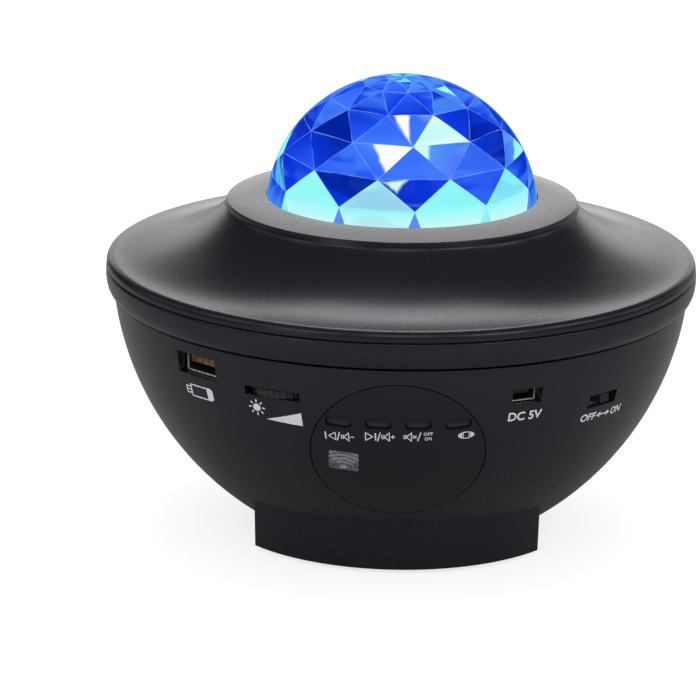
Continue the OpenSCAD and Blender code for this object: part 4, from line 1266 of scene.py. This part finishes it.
@dataclass
class FacetedDome:
    """The clear shell and the cut crystal inside it."""

    shell_finish: Finish
    crystal_finish: Finish
    radius: float = 38.1
    centre: float = 90.1
    flange: float = 42.9
    flange_low: float = 88.7
    flange_top: float = 90.7
    sphere: float = 33.0
    sphere_z: float = 94.4
    foot_z: float = 87.75
    count: int = 10
    turn: float = 6.0
    foot_turn: float = 6.6
    rings: tuple[float, ...] = (5.4, 19.6, 35.9, 52.9, 69.8, 81.0)

    def build(self) -> None:
        """Builds both pieces."""
        self._shell()
        self._crystal()

    def _shell(self) -> None:
        """The clear outside with its flange, which fills the space round the crystal."""
        foot = math.degrees(math.acos((self.flange_top - self.centre) / self.radius))
        outline = [(self.flange, self.flange_low), (self.flange, self.flange_top)]
        outline += arc(0.0, self.centre, self.radius, foot, 0, 45)
        outline += [(0.0, self.flange_low)]
        shell = Bench.lathe("dome_shell", outline)
        Bench.smooth(shell, 30)
        Bench.settle(shell, self.shell_finish, "dome_clear", "crystal_dome")
        shell.visible_glossy = False

    def _corner(self, ring: int, slot: float) -> Vector:
        """A corner of the crystal.

        Args:
            ring: Its ring, from the foot up.
            slot: Its place in the ring, where 0 is nearest to the front.

        Returns:
            Its place in metres.
        """
        height = math.radians(self.rings[ring])
        turn = math.radians(-90 + self.turn + slot * 360 / self.count)
        reach = self.sphere * math.cos(height)
        return Vector((reach * math.cos(turn), reach * math.sin(turn),
                       self.sphere_z + self.sphere * math.sin(height))) * MM

    def _foot(self, slot: float, side: int) -> Vector:
        """A corner at the foot of the tall facets.

        Args:
            slot: Slot of the corner above it.
            side: 1 for the corner after it, and -1 for the one before it.

        Returns:
            Its place in metres.
        """
        half = math.pi / self.count
        turn = math.radians(-90 + self.turn + slot * 360 / self.count + side * self.foot_turn)
        flat = self.sphere * math.cos(math.radians(self.rings[0])) * math.cos(half)
        reach = flat / math.cos(half - math.radians(self.foot_turn))
        return Vector((reach * math.cos(turn), reach * math.sin(turn), self.foot_z)) * MM

    def _crystal(self) -> None:
        """The crystal: a ring of corners drawn down to the foot and up ring by ring to the crown."""
        Bench.clear()
        first = self._corner(0, 0)
        start = Vector((0, 0, first.z))
        reach = (first - start).length
        bpy.ops.mesh.primitive_circle_add(
            vertices=self.count, radius=reach, location=start, rotation=(0, 0, math.radians(self.turn)))
        crystal = Bench.name("dome_crystal")
        Bench.fix(crystal)
        bpy.ops.object.mode_set(mode="EDIT")
        bpy.ops.mesh.select_all(action="SELECT")
        bpy.ops.mesh.extrude_edges_move(TRANSFORM_OT_translate={"value": (0, 0, self.foot_z * MM - first.z)})
        self._cut_feet(crystal)
        Bench.pick(crystal, Part.EDGE, lambda c: abs(c.z - first.z) < 1e-5)
        for ring in range(1, len(self.rings)):
            before, after = self._corner(ring - 1, 0), self._corner(ring, 0)
            share = after.xy.length / before.xy.length
            pivot = Vector((0, 0, after.z))
            bpy.ops.mesh.extrude_edges_move(TRANSFORM_OT_translate={"value": (0, 0, after.z - before.z)})
            bpy.ops.transform.resize(value=(share, share, 1), center_override=pivot)
            bpy.ops.transform.rotate(value=math.pi / self.count, orient_axis="Z", center_override=pivot)
        bpy.ops.mesh.edge_face_add()
        bpy.ops.mesh.poke()
        Bench.pick(crystal, Part.FACE, lambda c: c.z > first.z)
        bpy.ops.mesh.quads_convert_to_tris(quad_method="SHORTEST_DIAGONAL")
        bpy.ops.mesh.select_all(action="SELECT")
        bpy.ops.mesh.normals_make_consistent(inside=False)
        bpy.ops.object.mode_set(mode="OBJECT")
        self._light_up(crystal)
        Bench.settle(crystal, self.crystal_finish, "dome_clear", "crystal_dome")
        crystal.visible_glossy = False

    def _cut_feet(self, crystal: bpy.types.Object) -> None:
        """Cuts the lower corners of the tall facets off, up to the ring above.

        Args:
            crystal: Crystal in edit mode, with its tall facets only.
        """
        bpy.ops.mesh.select_mode(type="FACE")
        for slot in range(self.count):
            top = self._corner(0, slot)
            for side in (-1, 1):
                foot = self._foot(slot, side)
                middle = (self._corner(0, slot) + self._corner(0, slot + side)) / 2
                outward = Vector((middle.x, middle.y, 0)).normalized()
                cut = (top - foot).cross(outward).normalized()
                Bench.pick(crystal, Part.FACE, lambda c: c.xy.normalized().dot(outward.xy) > 0.985)
                bpy.ops.mesh.bisect(plane_co=foot, plane_no=cut)
        corners = [self._corner(0, slot).xy for slot in range(self.count)]
        Bench.pick(crystal, Part.CORNER, lambda c: c.z < self.foot_z * MM + 1e-5
                   and min((c.xy - corner).length for corner in corners) < 2e-5)
        bpy.ops.mesh.dissolve_verts()

    def _kind(self, points: list[Vector]) -> Kind:
        """Which facet lies between some corners.

        Args:
            points: Its corners.

        Returns:
            Its band, how it stands, and its slot.
        """
        heights = [self._corner(ring, 0).z for ring in range(len(self.rings))]
        rings = [min(range(len(heights)), key=lambda i: abs(heights[i] - p.z)) for p in points]
        middle = sum(points, Vector()) / len(points)
        slot = (math.degrees(math.atan2(middle.y, middle.x)) + 90 - self.turn) * self.count / 360
        slot = (round(slot * 2) / 2 + self.count / 2) % self.count - self.count / 2
        if min(p.z for p in points) < heights[0] - 1e-4:
            return (-1, Stand.TALL if len(points) > 3 else Stand.FOOT, slot)
        if max(p.z for p in points) > heights[-1] + 1e-5 or min(rings) == len(heights) - 1:
            return (len(heights) - 1, Stand.CROWN, slot)
        return (min(rings), UP if rings.count(min(rings)) == 2 else DOWN, slot)

    @staticmethod
    def _facet(kind: Kind) -> Facet:
        """How a facet is lit; those round the back follow a few patterns in turn.

        Args:
            kind: Which facet it is.

        Returns:
            Its light.
        """
        band, stand, slot = kind
        if stand is Stand.TALL:
            if abs(slot) == 2.5:
                return Facet((L.ROYAL, L.ROYAL, L.SKY), L.SKY, 0.4, lines=0.0)
            return Facet((L.MINT, L.MINT, L.WHITE), L.LILAC if slot == -0.5 else L.CYAN, 0.25, lines=0.0)
        if stand is Stand.FOOT:
            tone = L.MINT if slot % 3 == 1 else L.PERIWINKLE
            return Facet((tone, tone, tone), L.SKY, 0.2, lines=0.7)
        if stand is Stand.CROWN:
            return Facet((L.MEDIUM, L.MEDIUM, L.SKY), L.CYAN, 0.85, lines=0.0)
        if band == 4:
            return Facet((L.BRIGHT, L.ROYAL, L.MEDIUM), L.SKY, 0.5, lines=0.8)
        if kind in FACETS:
            return FACETS[kind]
        if band == 0 and stand is UP:
            return PALE_FACETS[int(slot + 10) % len(PALE_FACETS)]
        return BLUE_FACETS[int(2 * slot + 7 * band + (3 if stand is UP else 0)) % len(BLUE_FACETS)]

    def _light_up(self, crystal: bpy.types.Object) -> None:
        """Writes each facet's light to its corners.

        Args:
            crystal: The crystal.
        """
        mesh = crystal.data
        mesh.uv_layers.new(name="facet")
        for name in ("tint", "light", "edges", "patch"):
            mesh.attributes.new(name, "FLOAT_COLOR", "CORNER")
        for face in mesh.polygons:
            self._light_facet(mesh, list(face.loop_indices))

    def _light_facet(self, mesh: bpy.types.Mesh, loops: list[int]) -> None:
        """Writes one facet's tints, streaks, distances from its edges and patch, and flat place.

        Args:
            mesh: The crystal's mesh.
            loops: Corners of the facet.
        """
        points = [mesh.vertices[mesh.loops[i].vertex_index].co.copy() for i in loops]
        kind = self._kind(points)
        facet = self._facet(kind)
        order = self._in_order(points)
        plane = FacetPlane(points[order[0]], points[order[1]], points[order[-1]])
        local = [plane(p) for p in points]
        patch = [plane.at(u, v) for u, v in facet.patch]
        streaming = kind[1] is Stand.TALL or kind[:2] == (0, UP)
        for index, loop in enumerate(loops):
            rank, here = order.index(index), local[index]
            tone = facet.corners[min(rank, 2) if len(points) > 3 else rank]
            edges, inside = (FAR,) * 3, (0.0,) * 3
            if len(points) == 3:
                edges = self._gaps(here, [local[i] for i in order])
            if patch:
                inside = tuple(PATCH_ZERO + gap for gap in self._gaps(here, patch))
            for name, colour in (("tint", (*tone.value, facet.streaks)), ("light", (*facet.light.value, 1.0)),
                                 ("edges", (*edges, facet.lines)), ("patch", (*inside, 1.0))):
                mesh.attributes[name].data[loop].color = colour
            flat = here / 10 + Vector((kind[2] * 7.3, kind[0] * 5.1))
            if streaming:
                point = points[index]
                flat = (math.atan2(point.y, point.x) * 3.4, (point.z - self._corner(0, 0).z) * 100)
            mesh.uv_layers["facet"].data[loop].uv = flat

    @staticmethod
    def _gaps(point: Vector, corners: list[Vector]) -> tuple[float, ...]:
        """Distances of a point from the sides of a triangle.

        Args:
            point: Point in the triangle's plane.
            corners: The triangle's corners.

        Returns:
            The distance from the side across from each corner, positive on that corner's side.
        """
        gaps = []
        for corner, a, b in zip(corners, corners[1:] + corners[:1], corners[2:] + corners[:2]):
            across = Vector((a.y - b.y, b.x - a.x)).normalized()
            sign = 1.0 if across.dot(corner - a) > 0 else -1.0
            gaps.append(sign * across.dot(point - a))
        return tuple(gaps)

    @staticmethod
    def _in_order(points: list[Vector]) -> list[int]:
        """Puts a facet's corners in the order left, right, tip, as seen from outside.

        Args:
            points: Its corners.

        Returns:
            Their numbers in that order.
        """
        middle = sum(points, Vector()) / len(points)
        side = Vector((-middle.y, middle.x, 0)).normalized()
        if len(points) > 3:
            return sorted(range(len(points)), key=lambda i: (-round(points[i].z * 1e4), points[i].dot(side)))
        spread = [sum(abs(points[i].z - points[j].z) for j in range(3)) for i in range(3)]
        tip = max(range(3), key=lambda i: spread[i])
        base = sorted((i for i in range(3) if i != tip), key=lambda i: points[i].dot(side))
        return [*base, tip]


@dataclass(frozen=True)
class FacetPlane:
    """The plane of a facet, in millimetres from its left corner."""

    left: Vector
    right: Vector
    tip: Vector

    def _axes(self) -> tuple[Vector, Vector]:
        """The plane's own axes.

        Returns:
            Unit vectors along the base and towards the tip.
        """
        along = (self.right - self.left).normalized()
        up = self.tip - self.left
        return along, (up - along * up.dot(along)).normalized()

    def __call__(self, point: Vector) -> Vector:
        """A point in the plane's own millimetres.

        Args:
            point: Point in metres.

        Returns:
            Its place along the base and towards the tip.
        """
        along, up = self._axes()
        step = (point - self.left) / MM
        return Vector((step.dot(along), step.dot(up)))

    def at(self, u: float, v: float) -> Vector:
        """A place given by shares of the base and of the height.

        Args:
            u: Share along the base.
            v: Share of the height.

        Returns:
            The place in millimetres.
        """
        return Vector((u * (self.right - self.left).length / MM, v * self(self.tip).y))


# --------------------------------------------------------------------------- solids that stay


SHELL = MouldedPlastic("shell_satin_black", (0.0104, 0.0101, 0.0138), 0.27, 0.26, 0.0013)
PANEL = MouldedPlastic("panel_smooth_black", (0.0072, 0.0071, 0.0098), 0.24, 0.22, 0.001)
KEYS = KeyPlastic("key_black")
DARK = MouldedPlastic("inner_black_plastic", (0.0120, 0.0120, 0.0130), 0.5, 0.3, 0.004)
KNOB = MouldedPlastic("knob_black_plastic", (0.0210, 0.0210, 0.0230), 0.4, 0.2, 0.002)
NYLON = MouldedPlastic("white_nylon", srgb(226, 225, 219), 0.5, 0.4, 0.003, 0.03)
RUBBER = MouldedPlastic("soft_rubber", (0.0160, 0.0160, 0.0165), 0.78, 0.18, 0.01, 0.2)
STEEL = PlatedMetal("plated_steel", srgb(196, 199, 204))
BRASS = PlatedMetal("turned_brass", srgb(208, 172, 96), 0.24, (0.2, 0.2, 14.0))
MIRROR = PlatedMetal("vacuum_plated", srgb(222, 224, 228), 0.1, (1.0, 1.0, 3.0))

SLOT_FINISHES: dict[str, Finish] = {
    "shell_black": SHELL,
    "panel_black": PANEL,
    "dark_plastic": DARK,
    "steel": STEEL,
    "white_plastic": NYLON,
    "board_green": SolderMask("green_board", srgb(18, 84, 46), srgb(30, 116, 66)),
    "window_grey": SmokedWindow("receiver_window", (-14.4 * MM, -70.7 * MM, 38.6 * MM), math.radians(25.2)),
    "capacitor_blue": MouldedPlastic("capacitor_sleeve", srgb(30, 38, 84), 0.28, 0.5, 0.002, 0.12),
    "lamp_board_white": SolderMask("white_board", srgb(232, 232, 226), srgb(214, 214, 206)),
    "lamp_resin": LitLamp("lit_lamp", srgb(150, 190, 255)),
    "bright_plastic": MIRROR,
    "clear_lens": ClearResin("clear_lens", (0.93, 0.96, 0.98)),
    "brass": BRASS,
    "rubber": RUBBER,
    "black_paper": PressedPulp("pressed_pulp"),
    "magnet_grey": Ferrite("ferrite_magnet", 15.4 * MM, 19.4 * MM),
    "wire_sleeve": MouldedPlastic("wire_sleeve", (0.0170, 0.0170, 0.0180), 0.42, 0.5, 0.002, 0.15),
    "ribbon_grey": MouldedPlastic("ribbon_grey", srgb(186, 186, 184), 0.4, 0.6, 0.004, 0.06),
    "dome_clear": ClearResin("clear_dome", (0.74, 0.93, 1.0)),
}
NODE_FINISHES: dict[str, Finish] = {
    "key_previous": KEYS, "key_next": KEYS, "key_mute": KEYS, "key_mode": KEYS,
    "power_slider": KNOB, "brightness_wheel": KNOB,
    "bowl_housing": replace(SHELL, name="bowl_satin_black", painted_gap_shade=(66.85, 67.6)),
    "usb_a_shell": SocketShell("usb_shell", "usb_a_shell", -43.0),
    "dc_shell": SocketShell("inlet_shell", "dc_shell", 25.4, inside_shade=srgb(34, 33, 34)),
    "usb_a_tongue": GiltTongue("gilt_tongue", math.radians(-43.0)),
}


class Solids:
    """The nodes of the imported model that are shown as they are."""

    def dress(self) -> None:
        """Gives every node the finish of its slot, or its own."""
        for part in frame["record"]["subparts"]:
            node, slot = part["node"], part["material_slot"]
            finish = NODE_FINISHES.get(node, SLOT_FINISHES[slot])
            finish.dress(frame["nodes"][node])
            log.info("%s: %s", node, finish.name)


# --------------------------------------------------------------------------- printed marks


class Stencil:
    """The flat shapes of one mark, in millimetres, which become one piece."""

    def __init__(self, name: str, cuts: int = 2) -> None:
        """Starts an empty stencil.

        Args:
            name: Name of the piece.
            cuts: How often each edge is divided, so that the piece can bend.
        """
        self.name = name
        self.cuts = cuts
        self.shapes: list[bpy.types.Object] = []

    def poly(self, *corners: Corner) -> "Stencil":
        """Adds a filled shape.

        Args:
            corners: Its corners in turn.

        Returns:
            This stencil, so that calls can be chained.
        """
        Bench.clear()
        bpy.ops.mesh.primitive_circle_add(vertices=len(corners), radius=MM, fill_type="NGON")
        shape = bpy.context.object
        for vertex, (x, y) in zip(shape.data.vertices, corners):
            vertex.co = (x * MM, y * MM, 0)
        self.shapes.append(shape)
        return self

    def bar(self, x0: float, y0: float, x1: float, y1: float, width: float = 0.42) -> "Stencil":
        """Adds a straight stroke.

        Args:
            x0: Start, across.
            y0: Start, up.
            x1: End, across.
            y1: End, up.
            width: Width of the stroke.

        Returns:
            This stencil.
        """
        run = Vector((x1 - x0, y1 - y0))
        side = Vector((-run.y, run.x)).normalized() * width / 2
        tip = run.normalized() * width * 0.3
        a, b = Vector((x0, y0)) - tip, Vector((x1, y1)) + tip
        return self.poly(*(tuple(p) for p in (a - side, b - side, b + side, a + side)))

    def path(self, *corners: Corner, width: float = 0.42) -> "Stencil":
        """Adds a closed stroke.

        Args:
            corners: Corners that it runs through.
            width: Width of the stroke.

        Returns:
            This stencil.
        """
        for start, end in zip(corners, corners[1:] + corners[:1]):
            self.bar(*start, *end, width)
        return self

    def disc(self, x: float, y: float, radius: float) -> "Stencil":
        """Adds a filled disc of twenty sides.

        Args:
            x: Its middle, across.
            y: Its middle, up.
            radius: Its radius.

        Returns:
            This stencil.
        """
        turns = (2 * math.pi * k / 20 for k in range(20))
        return self.poly(*((x + radius * math.cos(t), y + radius * math.sin(t)) for t in turns))

    def word(self, text: str, x: float, y: float, width: float, height: float,
             weight: float = 0.022) -> "Stencil":
        """Adds a word, fitted to a width and a height.

        Args:
            text: The word.
            x: Its middle, across.
            y: Its middle, up.
            width: Its width.
            height: Its height.
            weight: How much bolder its strokes are than the typeface's own.

        Returns:
            This stencil.
        """
        Bench.clear()
        bpy.ops.object.text_add()
        word = bpy.context.object
        word.data.body, word.data.offset, word.data.resolution_u = text, weight, 3
        bpy.ops.object.convert(target="MESH")
        places = [v.co.copy() for v in word.data.vertices]
        low = Vector((min(p.x for p in places), min(p.y for p in places)))
        high = Vector((max(p.x for p in places), max(p.y for p in places)))
        for vertex, place in zip(word.data.vertices, places):
            share = Vector(((place.x - low.x) / (high.x - low.x), (place.y - low.y) / (high.y - low.y)))
            vertex.co = ((x + (share.x - 0.5) * width) * MM, (y + (share.y - 0.5) * height) * MM, 0)
        self.shapes.append(word)
        return self

    def joined(self) -> bpy.types.Object:
        """Joins the shapes and divides them finely enough to bend.

        Returns:
            The flat piece.
        """
        Bench.clear()
        for shape in self.shapes:
            shape.select_set(True)
        bpy.context.view_layer.objects.active = self.shapes[0]
        bpy.ops.object.join()
        piece = Bench.name(self.name)
        bpy.ops.object.mode_set(mode="EDIT")
        bpy.ops.mesh.select_all(action="SELECT")
        bpy.ops.mesh.quads_convert_to_tris()
        bpy.ops.mesh.subdivide(number_cuts=self.cuts)
        bpy.ops.object.mode_set(mode="OBJECT")
        return piece


@dataclass
class Marks:
    """White marks printed on the bowl and on the control panel."""

    ink: Finish
    arc: float = 85.0
    arc_z: float = 76.5
    lip: float = 81.0
    lip_z: float = 68.4
    panel_z: float = 40.3
    above: float = 4.0
    lift: float = 0.012
    thickness: float = 0.03

    def build(self) -> None:
        """Prints every mark."""
        self._print(self._stick(), "bowl_housing", -43.4, 52.8)
        self._print(self._sun(), "bowl_housing", -28.9, 52.4)
        self._print(Stencil("mark_wedge", 8).poly((-4.9, -1.3), (5.75, -1.95), (5.75, 2.15)),
                    "bowl_housing", -23.5, 50.5)
        self._print(Stencil("mark_inlet").word("DC 5V", 0, 0, 9.9, 2.75), "bowl_housing", 25.6, 51.9)
        switch = Stencil("mark_switch").word("OFF", -5.2, 0, 5.6, 2.5).word("ON", 5.9, 0, 4.2, 2.5)
        switch.bar(-1.0, 0, 2.2, 0, 0.42).poly((-2.0, 0), (-0.7, -0.95), (-0.7, 0.95))
        switch.poly((3.2, 0), (1.9, 0.95), (1.9, -0.95))
        self._print(switch, "bowl_housing", 45.9, 47.4)
        for name, x, up, lean, size, draw in (("mark_key_previous", -15.5, 6.2, 5.0, 0.88, self._previous),
                                              ("mark_key_next", -4.9, 7.4, 2.5, 0.9, self._next),
                                              ("mark_key_mute", 5.6, 7.6, 0.0, 0.9, self._mute),
                                              ("mark_key_mode", 18.0, 6.9, -3.0, 0.74, self._mode)):
            self._print(draw(Stencil(name)), "control_panel", None, up, x, lean, size)

    @staticmethod
    def _stick() -> Stencil:
        """A stick that plays, with a solid end.

        Returns:
            The flat shapes.
        """
        mark = Stencil("mark_stick")
        mark.path((-3.0, -1.75), (3.4, -1.75), (3.4, 1.75), (-3.0, 1.75), width=0.36)
        mark.poly((3.1, -1.95), (4.5, -1.95), (5.2, -1.2), (5.2, 1.2), (4.5, 1.95), (3.1, 1.95))
        mark.path((-4.9, -1.0), (-3.1, -1.0), (-3.1, 1.0), (-4.9, 1.0), width=0.34)
        return mark.bar(-4.9, 0, -3.4, 0, 0.3)

    @staticmethod
    def _sun() -> Stencil:
        """A sun with eight rays.

        Returns:
            The flat shapes.
        """
        mark = Stencil("mark_sun").disc(0, 0, 1.15)
        for k in range(8):
            x, y = math.cos(math.pi * k / 4), math.sin(math.pi * k / 4)
            mark.bar(1.75 * x, 1.75 * y, 2.3 * x, 2.3 * y, 0.42)
        return mark

    @staticmethod
    def _speaker(mark: Stencil, x: float) -> Stencil:
        """A loudspeaker that opens to the right.

        Args:
            mark: Stencil to fill.
            x: Where it starts.

        Returns:
            The stencil.
        """
        mark.path((x + 0.1, -0.55), (x + 0.1, 0.55), (x + 0.75, 0.55), (x + 0.75, -0.55), width=0.3)
        return mark.path((x + 0.8, 0), (x + 2.3, 1.5), (x + 2.3, -1.5), width=0.28)

    def _previous(self, mark: Stencil) -> Stencil:
        """Back, and quieter.

        Args:
            mark: Stencil to fill.

        Returns:
            The stencil.
        """
        mark.bar(-4.2, -1.2, -4.2, 1.2, 0.42).path((-3.3, 0), (-1.2, 1.4), (-1.2, -1.4), width=0.3)
        mark.bar(-0.75, -1.5, 0.1, 1.5, 0.34)
        return self._speaker(mark, 0.5).bar(3.4, 0, 4.3, 0, 0.32)

    def _next(self, mark: Stencil) -> Stencil:
        """On, and louder.

        Args:
            mark: Stencil to fill.

        Returns:
            The stencil.
        """
        mark.path((-4.1, -1.4), (-4.1, 1.4), (-2.0, 0), width=0.3).bar(-1.2, -1.2, -1.2, 1.2, 0.42)
        mark.bar(-0.6, -1.5, 0.25, 1.5, 0.34)
        self._speaker(mark, 0.6)
        return mark.bar(3.45, 0, 4.45, 0, 0.34).bar(3.95, -0.5, 3.95, 0.5, 0.34)

    def _mute(self, mark: Stencil) -> Stencil:
        """Mute, and off or on.

        Args:
            mark: Stencil to fill.

        Returns:
            The stencil.
        """
        self._speaker(mark, -4.6)
        mark.bar(-1.8, -0.5, -0.9, 0.5, 0.3).bar(-1.8, 0.5, -0.9, -0.5, 0.3).bar(-0.45, -1.5, 0.4, 1.5, 0.34)
        return mark.word("OFF", 2.6, 0.9, 2.7, 1.15, 0.012).word("ON", 2.6, -0.9, 2.0, 1.15, 0.012)

    @staticmethod
    def _mode(mark: Stencil) -> Stencil:
        """A player between two waves.

        Args:
            mark: Stencil to fill.

        Returns:
            The stencil.
        """
        mark.path((-1.1, -1.35), (1.1, -1.35), (1.1, 1.35), (-1.1, 1.35), width=0.32)
        for s in (-1, 1):
            mark.poly(*((s * x, y) for x, y in ((1.5, 1.35), (2.3, 0.95), (2.9, 0.3), (2.9, -0.3),
                                                (2.3, -0.95), (1.5, -1.35))))
        return mark

    def _place(self, azimuth: float | None, height: float, x: float, lean: float, size: float) -> Matrix:
        """The frame of a mark, a little above the surface that it is printed on.

        Args:
            azimuth: Where it stands round the bowl, in degrees from the front, or None for the panel.
            height: Its height on the bowl, or how far it stands up the panel from the middle.
            x: How far it stands to the right of the panel's middle.
            lean: Its own turn in degrees.
            size: Its scale.

        Returns:
            The frame, in metres.
        """
        level, turn = (self.panel_z, 0.0) if azimuth is None else (height, math.radians(azimuth))
        tilt = math.asin((self.arc_z - level) / self.arc)
        middle = self.lip - math.sqrt(self.arc ** 2 - (self.arc_z - self.lip_z) ** 2)
        reach = middle + self.arc * math.cos(tilt)
        right = Vector((math.cos(turn), math.sin(turn), 0))
        out = Vector((math.sin(turn) * math.cos(tilt), -math.cos(turn) * math.cos(tilt), -math.sin(tilt)))
        up = out.cross(right)
        origin = Vector((math.sin(turn) * reach, -math.cos(turn) * reach, level))
        if azimuth is None:
            origin += right * x + up * height
        origin = (origin + out * self.above) * MM
        turned = Matrix.Rotation(math.radians(lean), 4, "Z") @ Matrix.Scale(size, 4)
        return Matrix.Translation(origin) @ Matrix((right, up, out)).transposed().to_4x4() @ turned

    def _print(self, stencil: Stencil, node: str, azimuth: float | None, height: float, x: float = 0.0,
               lean: float = 0.0, size: float = 1.0) -> None:
        """Lays a mark on a node and gives it the thickness of ink.

        Args:
            stencil: Shapes of the mark.
            node: Node that it is printed on.
            azimuth: Where it stands round the bowl, in degrees, or None for the panel.
            height: Its height on the bowl, or up the panel.
            x: Its place across the panel.
            lean: Its own turn in degrees.
            size: Its scale.
        """
        mark = stencil.joined()
        mark.matrix_world = self._place(azimuth, height, x, lean, size)
        Bench.modify(mark, "SHRINKWRAP", target=frame["nodes"][node], wrap_method="PROJECT",
                     wrap_mode="ABOVE_SURFACE", use_project_z=True, use_negative_direction=True,
                     use_positive_direction=False, offset=self.lift * MM)
        Bench.modify(mark, "SOLIDIFY", thickness=self.thickness * MM, offset=1.0)
        Bench.fix(mark)
        Bench.settle(mark, self.ink, "window_grey")


# --------------------------------------------------------------------------- studio


@dataclass
class Studio:
    """Floor, lights, background and camera."""

    distance: float = 1000.0
    height: float = 48.7
    elevation: float = 16.5
    lens: float = 180.72
    roll: float = 0.93
    yaw: float = math.degrees(math.atan(49.5 / 3514))
    reach: float = 1000.0
    side: float = 350.0
    aim: float = 70.0
    fill: float = 0.957
    glimmer: float = 0.02
    floor_tone: float = 0.30
    floor_glow: float = 0.76
    softboxes: tuple[tuple[float, float, float], ...] = (
        (0, 48, 1.25), (0, 66, 0.15), (0, 30, 0.62), (-20, 8, 0.40), (0, 8, 0.66), (20, 8, 0.46),
        (20, 22, 0.12), (-20, 22, 0.10), (75, 22, 0.29), (-75, 22, 0.15), (105, 36, 0.68), (-105, 36, 0.39),
        (140, 36, 0.94), (-140, 36, 0.61), (140, 8, 0.14), (-140, 8, 0.33), (180, 36, 0.43), (180, 50, 0.38),
        (45, 8, 0.13))

    def build(self) -> None:
        """Builds the studio."""
        bpy.context.scene.view_settings.view_transform = "Standard"
        self._camera()
        self._floor()
        self._background()
        for turn, rise, watts in self.softboxes:
            self._softbox(turn, rise, watts)

    def _camera(self) -> None:
        """A long lens a little above the lamp, turned a touch to centre it."""
        tilt, turn, lean = (math.radians(a) for a in (self.elevation, self.yaw, self.roll))
        eye = Vector((0, -self.distance * math.cos(tilt), self.height + self.distance * math.sin(tilt))) * MM
        right, up = Vector((1, 0, 0)), Vector((0, math.sin(tilt), math.cos(tilt)))
        ahead = Vector((0, math.cos(tilt), -math.sin(tilt)))
        right, up = (right * math.cos(lean) + up * math.sin(lean),
                     up * math.cos(lean) - right * math.sin(lean))
        right, ahead = (right * math.cos(turn) + ahead * math.sin(turn),
                        ahead * math.cos(turn) - right * math.sin(turn))
        data = bpy.data.cameras.new("camera")
        data.lens, data.sensor_width, data.sensor_fit = self.lens, 36.0, "HORIZONTAL"
        data.clip_start, data.clip_end = 0.05, 20.0
        camera = bpy.data.objects.new("camera", data)
        bpy.context.scene.collection.objects.link(camera)
        camera.matrix_world = Matrix.Translation(eye) @ Matrix((right, up, -ahead)).transposed().to_4x4()
        bpy.context.scene.camera = camera

    def _floor(self) -> None:
        """A plain pale floor that keeps the lamp's shadow."""
        Bench.clear()
        bpy.ops.mesh.primitive_plane_add(size=6.0, location=(0, 0, -0.02 * MM))
        floor = Bench.name("floor")
        material = bpy.data.materials.new("pale_floor")
        material.use_nodes = True
        graph = Graph(material.node_tree)
        seen = graph.signal("ShaderNodeLightPath", {}, {}, "Is Camera Ray")
        mottle = graph.noise(graph.place(), 9.0, 2.0)
        grey = graph.skin(
            Base_Color=graph.mixed((0.26, 0.26, 0.27), (0.28, 0.28, 0.29), mottle), Roughness=0.9)
        shown = graph.skin(Base_Color=(self.floor_tone,) * 3, Roughness=0.9,
                           Emission_Color=(1.0, 1.0, 1.0), Emission_Strength=self.floor_glow)
        graph.node("ShaderNodeOutputMaterial", {}, {"Surface": graph.signal(
            "ShaderNodeMixShader", {}, {0: seen, 1: grey, 2: shown})})
        floor.data.materials.append(material)

    def _background(self) -> None:
        """White behind the lamp, and a soft room that is brighter above and behind it."""
        world = bpy.data.worlds.new("studio")
        world.use_nodes = True
        bpy.context.scene.world = world
        graph = Graph(world.node_tree)
        path = graph.node("ShaderNodeLightPath").outputs
        seen = Signal(graph, path["Is Camera Ray"]).most(Signal(graph, path["Is Transmission Ray"]))
        shine = Signal(graph, path["Is Glossy Ray"])
        room = graph.mixed((self.fill,) * 3, (self.glimmer,) * 3, shine)
        graph.node("ShaderNodeOutputWorld", {}, {"Surface": graph.signal("ShaderNodeMixShader", {}, {
            0: seen,
            1: graph.signal("ShaderNodeBackground", {}, {"Color": room, "Strength": 1.0}),
            2: graph.signal("ShaderNodeBackground", {}, {"Color": (1.0, 1.0, 1.0), "Strength": 1.0})})})

    def _softbox(self, turn: float, rise: float, watts: float) -> None:
        """Adds a square softbox that faces the lamp.

        Args:
            turn: Where it stands round the lamp, in degrees from straight behind towards the right.
            rise: How high it stands, in degrees.
            watts: Its power.
        """
        data = bpy.data.lights.new(f"softbox_{turn:g}_{rise:g}", "AREA")
        data.shape, data.size, data.energy = "SQUARE", self.side * MM, watts
        softbox = bpy.data.objects.new(data.name, data)
        bpy.context.scene.collection.objects.link(softbox)
        across, high = math.radians(turn), math.radians(rise)
        away = Vector((math.sin(across) * math.cos(high), math.cos(across) * math.cos(high), math.sin(high)))
        softbox.location = (Vector((0, 0, self.aim)) + away * self.reach) * MM
        softbox.rotation_euler = (-away).to_track_quat("-Z", "Y").to_euler()


def main() -> None:
    """Builds every piece in turn, then the studio."""
    logging.basicConfig(level=logging.INFO, format="%(message)s")
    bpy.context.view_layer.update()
    Studio().build()
    Solids().dress()
    TopCover(SHELL).build()
    RimBand(SHELL).build()
    FacetedDome(TintedShell("dome_shell_clear"), CutCrystal("cut_crystal")).build()
    Marks(PrintedInk("white_ink", srgb(232, 234, 240))).build()


if __name__ == "__main__":
    main()
